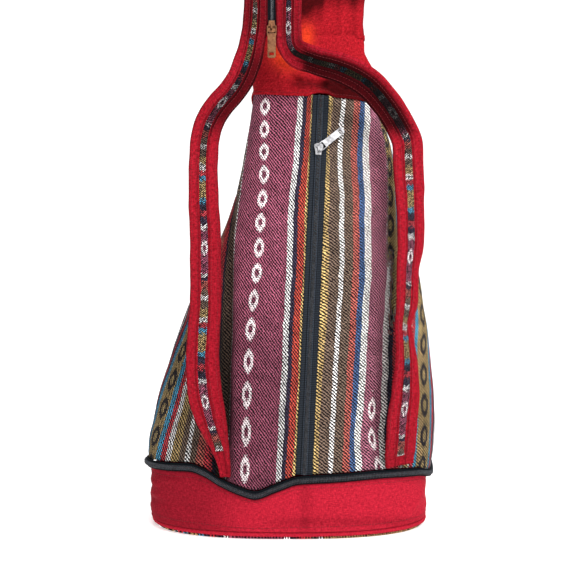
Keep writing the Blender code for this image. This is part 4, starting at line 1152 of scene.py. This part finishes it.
def around(height, count=AROUND):
    """Places and outward directions round the bag at a height given by place: arrays (count, 3)."""
    base = outline(hz(130), FINE_STEPS)[0]
    run = distances(base)
    marks = run[-1] * np.arange(count) / count
    z = height(*along(marks, run, base).T)
    spots, ways = np.empty((count, 3)), np.zeros((count, 3))
    for k, line in enumerate(outline(z, FINE_STEPS)):
        run_at = distances(line)
        here = marks[k] / run[-1] * run_at[-1]
        before, at, after = along((here + np.array([-0.002, 0.0, 0.002])) % run_at[-1], run_at, line)
        way = unit(after - before)
        spots[k] = (*at, z[k])
        ways[k, :2] = (-way[1], way[0])
    centre = np.array([wx(5), 0, 0])
    flip = ((spots - centre) * (1, 1, 0) * ways).sum(axis=1) < 0
    ways[flip] *= -1
    return spots, ways, marks


def belt(name, height, section, count=AROUND, push=None, painted_shade=None):
    """Closed band round the bag from (outwards, upwards) section points."""
    spots, ways, marks = around(height, count)
    out_by, up_by = section(spots, marks)
    points = spots[:, None] + ways[:, None] * out_by[..., None] + np.array([0, 0, 1.0]) * up_by[..., None]
    if push is not None:
        points = points + ways[:, None] * push(points)[..., None]
    profile = np.sqrt(np.gradient(out_by, axis=1) ** 2 + np.gradient(up_by, axis=1) ** 2)
    down = np.cumsum(profile, axis=1)
    return build(name, points, closed=(True, True), uvs={
        "weave": joined(marks[:, None] * UV_PER_M, down * UV_PER_M),
        "painted_shade": joined(painted_shade(points) if painted_shade else 0 * down, 0.0)})


def band_section(spots, marks):
    """Canvas band: rolled top and foot edges, front face and back face."""
    low = (BAND_LOW - spots[:, 2])[:, None]
    high = (lip_height(spots[:, 0], spots[:, 1]) - BASE_TAPES / 2 + 0.0010 - spots[:, 2])[:, None]
    share = np.linspace(0, 1, 44)[None, :]
    up = low + (high - low) * share
    roll = np.sqrt(np.clip(1 - (1 - np.minimum(1, np.minimum(share, 1 - share) * 26)) ** 2, 0, 1))
    out = 0.0002 + 0.0014 * (roll - 1) + 0.0006 * bell(high - up, 0.0030, 0.0016)
    out = out - 0.0006 * bell(up - low, 0.0034, 0.0008)
    back_up = low + (high - low) * np.linspace(1, 0, 10)[None, 1:-1]
    return (np.concatenate([out, -0.0015 + 0 * back_up], axis=1),
            np.concatenate([up, back_up], axis=1))


def band_push(points):
    """Wrinkles: level ones at the left, slanting ones at the right, a soft upright fold between."""
    x, y, z = points[..., 0], points[..., 1], points[..., 2]
    below = lip_height(x, y) - BASE_TAPES / 2 - z
    ends = ease(0.013, 0.020, z) * ease(0.001, 0.012, below)
    push = 1.1 * MM * noise(points, (0.038, 0.038, 0.022), 301) * ends
    push += 0.5 * MM * noise(points, (0.013, 0.013, 0.010), 302) * ends
    level = noise(points, (0.030, 0.030, 0.0060), 303)
    push += 1.3 * MM * level * ease(-0.070, -0.110, x) * ends * (y < 0.02)
    slant = noise(joined(x * 0.7 + z * 0.7, y, (z - x) * 0.7), (0.035, 0.060, 0.0080), 304)
    push += 1.0 * MM * slant * ease(0.035, 0.075, x) * ends * (y < 0.02)
    push -= 1.6 * MM * bell(x, 0.0195, 0.0035) * ends * (y < 0)
    push += 0.30 * MM * noise(points * (1, 1, 0.2), 0.0055, 305) * np.exp(-np.abs(below) / 0.008)
    return push


def band_middle(x, y):
    return (BAND_LOW + lip_height(x, y) - BASE_TAPES / 2) / 2


band = belt("base_band_sewn", band_middle, band_section, push=band_push, painted_shade=band_painted_shade)
finish_piece(band, RED_BAND, "red_canvas", "base_band")
places = np.empty(len(band.data.vertices) * 3)
band.data.vertices.foreach_get("co", places)
places = places.reshape(AROUND, -1, 3)
face = looped(around(band_middle)[1])
for label, column in (("top", 38), ("foot", 5)):
    stitches("band_%s_stitches" % label, looped(places[:, column]) + face * THREAD_LIFT, face, RED_THREAD)


def cord_section(spots, marks):
    """Round section of the hem's cord, a little uneven along it."""
    turn = 2 * math.pi * np.arange(12)[None, :] / 12
    swell = (HEM_CORD / 2 * (1 + 0.05 * noise(joined(marks, 0, 0), 0.004, 7)))[:, None]
    return -0.0008 + swell * np.cos(turn), swell * np.sin(turn)


hem = belt("base_hem_cord", lambda x, y: HEM_Z + 0 * x, cord_section, count=560)
finish_piece(hem, RED_BAND, "red_canvas", "base_hem")


def panel_disc(name, z_low, thick, inset, round_edge, seed, node):
    """Soft flat panel that fills the outline: rings of points from the edge to the middle."""
    base = outline(z_low + thick / 2, FINE_STEPS)[0]
    run = distances(base)
    rim = along(run[-1] * np.arange(240) / 240, run, base)
    mid = np.array([(rim[:, 0].min() + rim[:, 0].max()) / 2, 0.0])
    far = np.linalg.norm(rim - mid, axis=1, keepdims=True)
    inner = np.linspace(0.97, 0.02, 34)
    base_scale = 1 - (inset + round_edge) / far
    edge = [(1 - (inset + round_edge * (1 - math.sin(a))) / far, thick / 2 * -math.cos(a))
            for a in np.linspace(0, math.pi, 7)]
    rows = ([(base_scale * s, -thick / 2) for s in inner[::-1]] + edge
            + [(base_scale * s, thick / 2) for s in inner])
    points = np.empty((len(rows), len(rim), 3))
    for k, (scale, up) in enumerate(rows):
        points[k, :, :2] = mid + (rim - mid) * scale
        points[k, :, 2] = z_low + thick / 2 + up
    sway = 0.35 * MM * noise(points, (0.02, 0.02, 1.0), seed)
    points[..., 2] += np.where(points[..., 2] > z_low + thick * 0.4, sway, 0.0)
    uv = points[..., :2] * UV_PER_M + (2.0, 0.0)
    obj = build(name, points, closed=(False, True), uvs={
        "weave": uv, "rings": uv * 0 + 9.0, "loops": uv * 0 + 9.0})
    finish_piece(cap(obj), BASE_CLOTH, "woven_cotton", node)


BASE_CLOTH = woven("woven_base", BACK_BANDS, BACK_REACH, first=0.0)
panel_disc("base_panel_woven", 0.0, BASE_THICK, 0.0018, 0.0018, 331, "base_panel")
panel_disc("compartment_floor_cloth", hz(LIP_BACK) + 0.014, 0.0016, 0.0048, 0.0006, 333,
           "compartment_floor")

# Zips. A tape is a ribbed ribbon, a coil a helix of wire with flattened outer turns.
TAPE_OUT = 0.0010


def tape_belt(label, sign):
    """Tape of the base zip, below the coils for sign -1 and above them for 1."""
    def section(spots, marks):
        share = np.linspace(0, 1, 9)[None, :]
        up = sign * (0.0009 + (BASE_TAPES / 2 - 0.0011) * share) + 0 * marks[:, None]
        wave = noise(joined(marks, 0, 0), 0.012, 351 + sign)
        out = TAPE_OUT + 0.0013 * (1 - share ** 2.4) + 0.0004 * wave[:, None] * share
        up_all = np.concatenate([up, up[:, ::-1]], axis=1)
        out_all = np.concatenate([out + 0.0008, out[:, ::-1]], axis=1)
        return out_all[:, ::sign], up_all[:, ::sign]
    obj = belt("base_tape_%s_ribbed" % label, lip_height, section)
    finish_piece(obj, BLACK_TAPE, "black_tape", "base_tape_" + label)


SIDES = (("lower", -1), ("upper", 1))
for label, sign in SIDES:
    tape_belt(label, sign)


def helix(node, sign, places, across, out, lift, apart, pitch, wide, tall, wire, closed=False):
    """One coil of wire beside a zip's line, its turns spread by the across and out directions."""
    places = places + across * sign * apart + out * lift
    run = distances(places)
    turns = int(round(run[-1] / pitch))
    per = 9
    count = turns * per + (0 if closed else 1)
    at = run[-1] * np.arange(count) / (turns * per)
    place, side, face = (along(at, run, rows) for rows in (places, across * sign, out))
    angle = 2 * math.pi * np.arange(count) / per + (0.0 if sign > 0 else math.pi / 2)
    c, s = np.cos(angle)[:, None], np.sin(angle)[:, None]
    centre = place + side * wide * c + face * tall * s
    ahead = np.gradient(centre, axis=0)
    if closed:
        ahead[0] = centre[1] - centre[-1]
        ahead[-1] = centre[0] - centre[-2]
    ahead = unit(ahead)
    radial = square_to(side * c + face * s, ahead)
    third = np.cross(ahead, radial)
    ring = (2 * math.pi * np.arange(5) / 5)[None, :, None]
    points = centre[:, None] + wire * (radial[:, None] * np.cos(ring) + third[:, None] * np.sin(ring))
    obj = build(node + "_wire", points, closed=(closed, True))
    finish_piece(obj if closed else cap(obj), BLACK_COIL, "black_coil", node)


spots, ways, marks = around(lip_height, 900)
up = np.tile([0, 0, 1.0], (len(spots) + 1, 1))
for label, sign in SIDES:
    helix("base_coil_" + label, sign, looped(spots), up, looped(ways), 0.0034, 0.00085, 0.0016,
          0.0012, 0.00072, 0.00040, closed=True)


def lane(low, high, across, out, count):
    """Even places from low to high, each with the same across and out directions."""
    share = np.linspace(0, 1, count)[:, None]
    places = np.array(low) * (1 - share) + np.array(high) * share
    return places, np.tile(np.array(across, float), (count, 1)), np.tile(np.array(out, float), (count, 1))


def straight_tape(node, line, inner, outer, sink, seed, curl=0.0006, ridge=0.0):
    """Ribbed tape along a straight zip, from inner to outer offset."""
    places, sides, faces = lane(*line, 150)
    share = np.linspace(0, 1, 15)[None, :]
    off = inner + (outer - inner) * share
    lift = -sink + curl * share ** 2 + ridge * (bell(share, 0.22, 0.13) - 0.7 * bell(share, 0.50, 0.10))
    lift = lift + 0.22 * MM * noise(joined(off, places[:, 2:3], 0), (0.006, 0.014, 1.0), seed) * share
    top = places[:, None] + sides[:, None] * off[..., None] + faces[:, None] * lift[..., None]
    points = np.concatenate([top, (top - faces[:, None] * 0.0008)[:, ::-1]], axis=1)
    if outer < inner:
        points = points[:, ::-1]
    down = distances(places)[:, None]
    wide = np.concatenate([off, off[:, ::-1]], axis=1)
    obj = cap(build(node + "_ribbed", points, closed=(False, True), uvs={
        "weave": joined(wide * UV_PER_M, down * UV_PER_M)}))
    finish_piece(obj, RIDGED_TAPE if ridge else BLACK_TAPE, "black_tape", node)


zip_line = (ZIP_LOW + ZIP_UP * 0.0030 + ZIP_OUT * 0.0004, ZIP_HIGH - ZIP_UP * 0.0012 + ZIP_OUT * 0.0004,
            ZIP_ACROSS, ZIP_OUT)
for label, sign in (("left", -1), ("right", 1)):
    straight_tape("front_tape_" + label, zip_line, sign * 0.0009, sign * (FRONT_SLOT / 2 + 0.0002),
                  0.0, 371 + sign, ridge=0.0009)
    helix("front_coil_" + label, sign, *lane(*zip_line, 200), 0.0011, 0.00085, 0.0014, 0.0011,
          0.00062, 0.00036)

chain_line = ((SPLIT_X, FRONT_Y - STRAP_THICK / 2, hz(1106)),
              (SPLIT_X, FRONT_Y - STRAP_THICK / 2, HALF_TOP - 0.001), (1, 0, 0), (0, -1, 0))
TAPE_TOP = -0.0002 - COIL_HEIGHT * 0.8 - 0.0003
for label, sign in (("left", -1), ("right", 1)):
    straight_tape("strap_tape_" + label, chain_line, sign * 0.00015,
                  sign * (STRAP_SLOT / 2 + 0.0004), -TAPE_TOP, 375 + sign, 0.0003)
    helix("strap_coil_" + label, sign, *lane(*chain_line, 200), -0.0008, 0.0008, 0.0013, 0.0010,
          0.00052, 0.00034)

# Sliders and pulls keep their solids, with softened edges
for node in ("front_slider", "front_pull", "base_slider", "base_pull", "strap_slider", "strap_pull"):
    obj = NODES[node]
    paint = BRASS if node.startswith("strap") else SILVER
    for k in range(max(1, len(obj.data.materials))):
        if k < len(obj.data.materials):
            obj.data.materials[k] = paint
        else:
            obj.data.materials.append(paint)
    for held in obj.material_slots:
        held.material = paint
    soft = obj.modifiers.new("soft_edges", "BEVEL")
    soft.width = 0.00012
    soft.segments = 2
    soft.limit_method = "ANGLE"
    soft.angle_limit = math.radians(35)

# Floor, lights and camera
data = bpy.data.meshes.new("floor_sweep")
curve_rows = [(-1.6, 0.0), (-0.6, 0.0), (0.0, 0.0), (0.6, 0.0), (1.0, 0.0)]
for turn in math.pi / 2 * np.arange(1, 9) / 8:
    curve_rows.append((1.0 + 0.7 * math.sin(turn), 0.7 - 0.7 * math.cos(turn)))
curve_rows.append((1.7, 3.0))
data.from_pydata([(x, y, z) for y, z in curve_rows for x in (-3.0, 3.0)], [],
                 [(2 * k, 2 * k + 1, 2 * k + 3, 2 * k + 2) for k in range(len(curve_rows) - 1)])
for face in data.polygons:
    face.use_smooth = True
pale = Paint("pale_floor")
cloud = pale.grain(pale.place(), 6.0, 3.0)
data.materials.append(pale.done(pale.blend(cloud, (0.88, 0.88, 0.88), (0.93, 0.93, 0.93)), 0.8,
                                Emission_Color=(1.0, 1.0, 1.0, 1.0), Emission_Strength=0.5))
add_object("floor_sweep", data)

AMBIENT = 0.22
world = bpy.data.worlds.new("studio")
bpy.context.scene.world = world
world.use_nodes = True
back = world.node_tree.nodes["Background"]
back.inputs[0].default_value = (1.0, 1.0, 1.0, 1.0)
back.inputs[1].default_value = AMBIENT


def lamp(name, place, aim, size, power, colour=(1, 1, 1)):
    data = bpy.data.lights.new(name, "AREA")
    data.shape = "RECTANGLE"
    data.size, data.size_y = size
    data.energy = power
    data.color = colour
    obj = add_object(name, data)
    obj.location = place
    obj.rotation_euler = (Vector(aim) - Vector(place)).to_track_quat("-Z", "Y").to_euler()


lamp("key", (0.45, -0.85, 1.02), (0, 0, 0.28), (0.75, 0.75), 19.0, (1.0, 0.985, 0.965))
lamp("fill", (-1.2, -1.3, 0.5), (0, 0, 0.25), (1.2, 1.2), 3.8, (0.96, 0.98, 1.0))
lamp("rim", (-0.3, 1.1, 1.3), (0, 0, 0.35), (1.0, 0.6), 8.0)

data = bpy.data.cameras.new("camera")
data.sensor_width = 36.0
data.lens = data.sensor_width * FOCAL / (2 * MIDDLE)
data.clip_start = 0.02
camera = add_object("camera", data)
camera.location = EYE
camera.rotation_euler = (math.pi / 2, 0.0, 0.0)
bpy.context.scene.camera = camera
bpy.context.scene.view_settings.view_transform = "Standard"
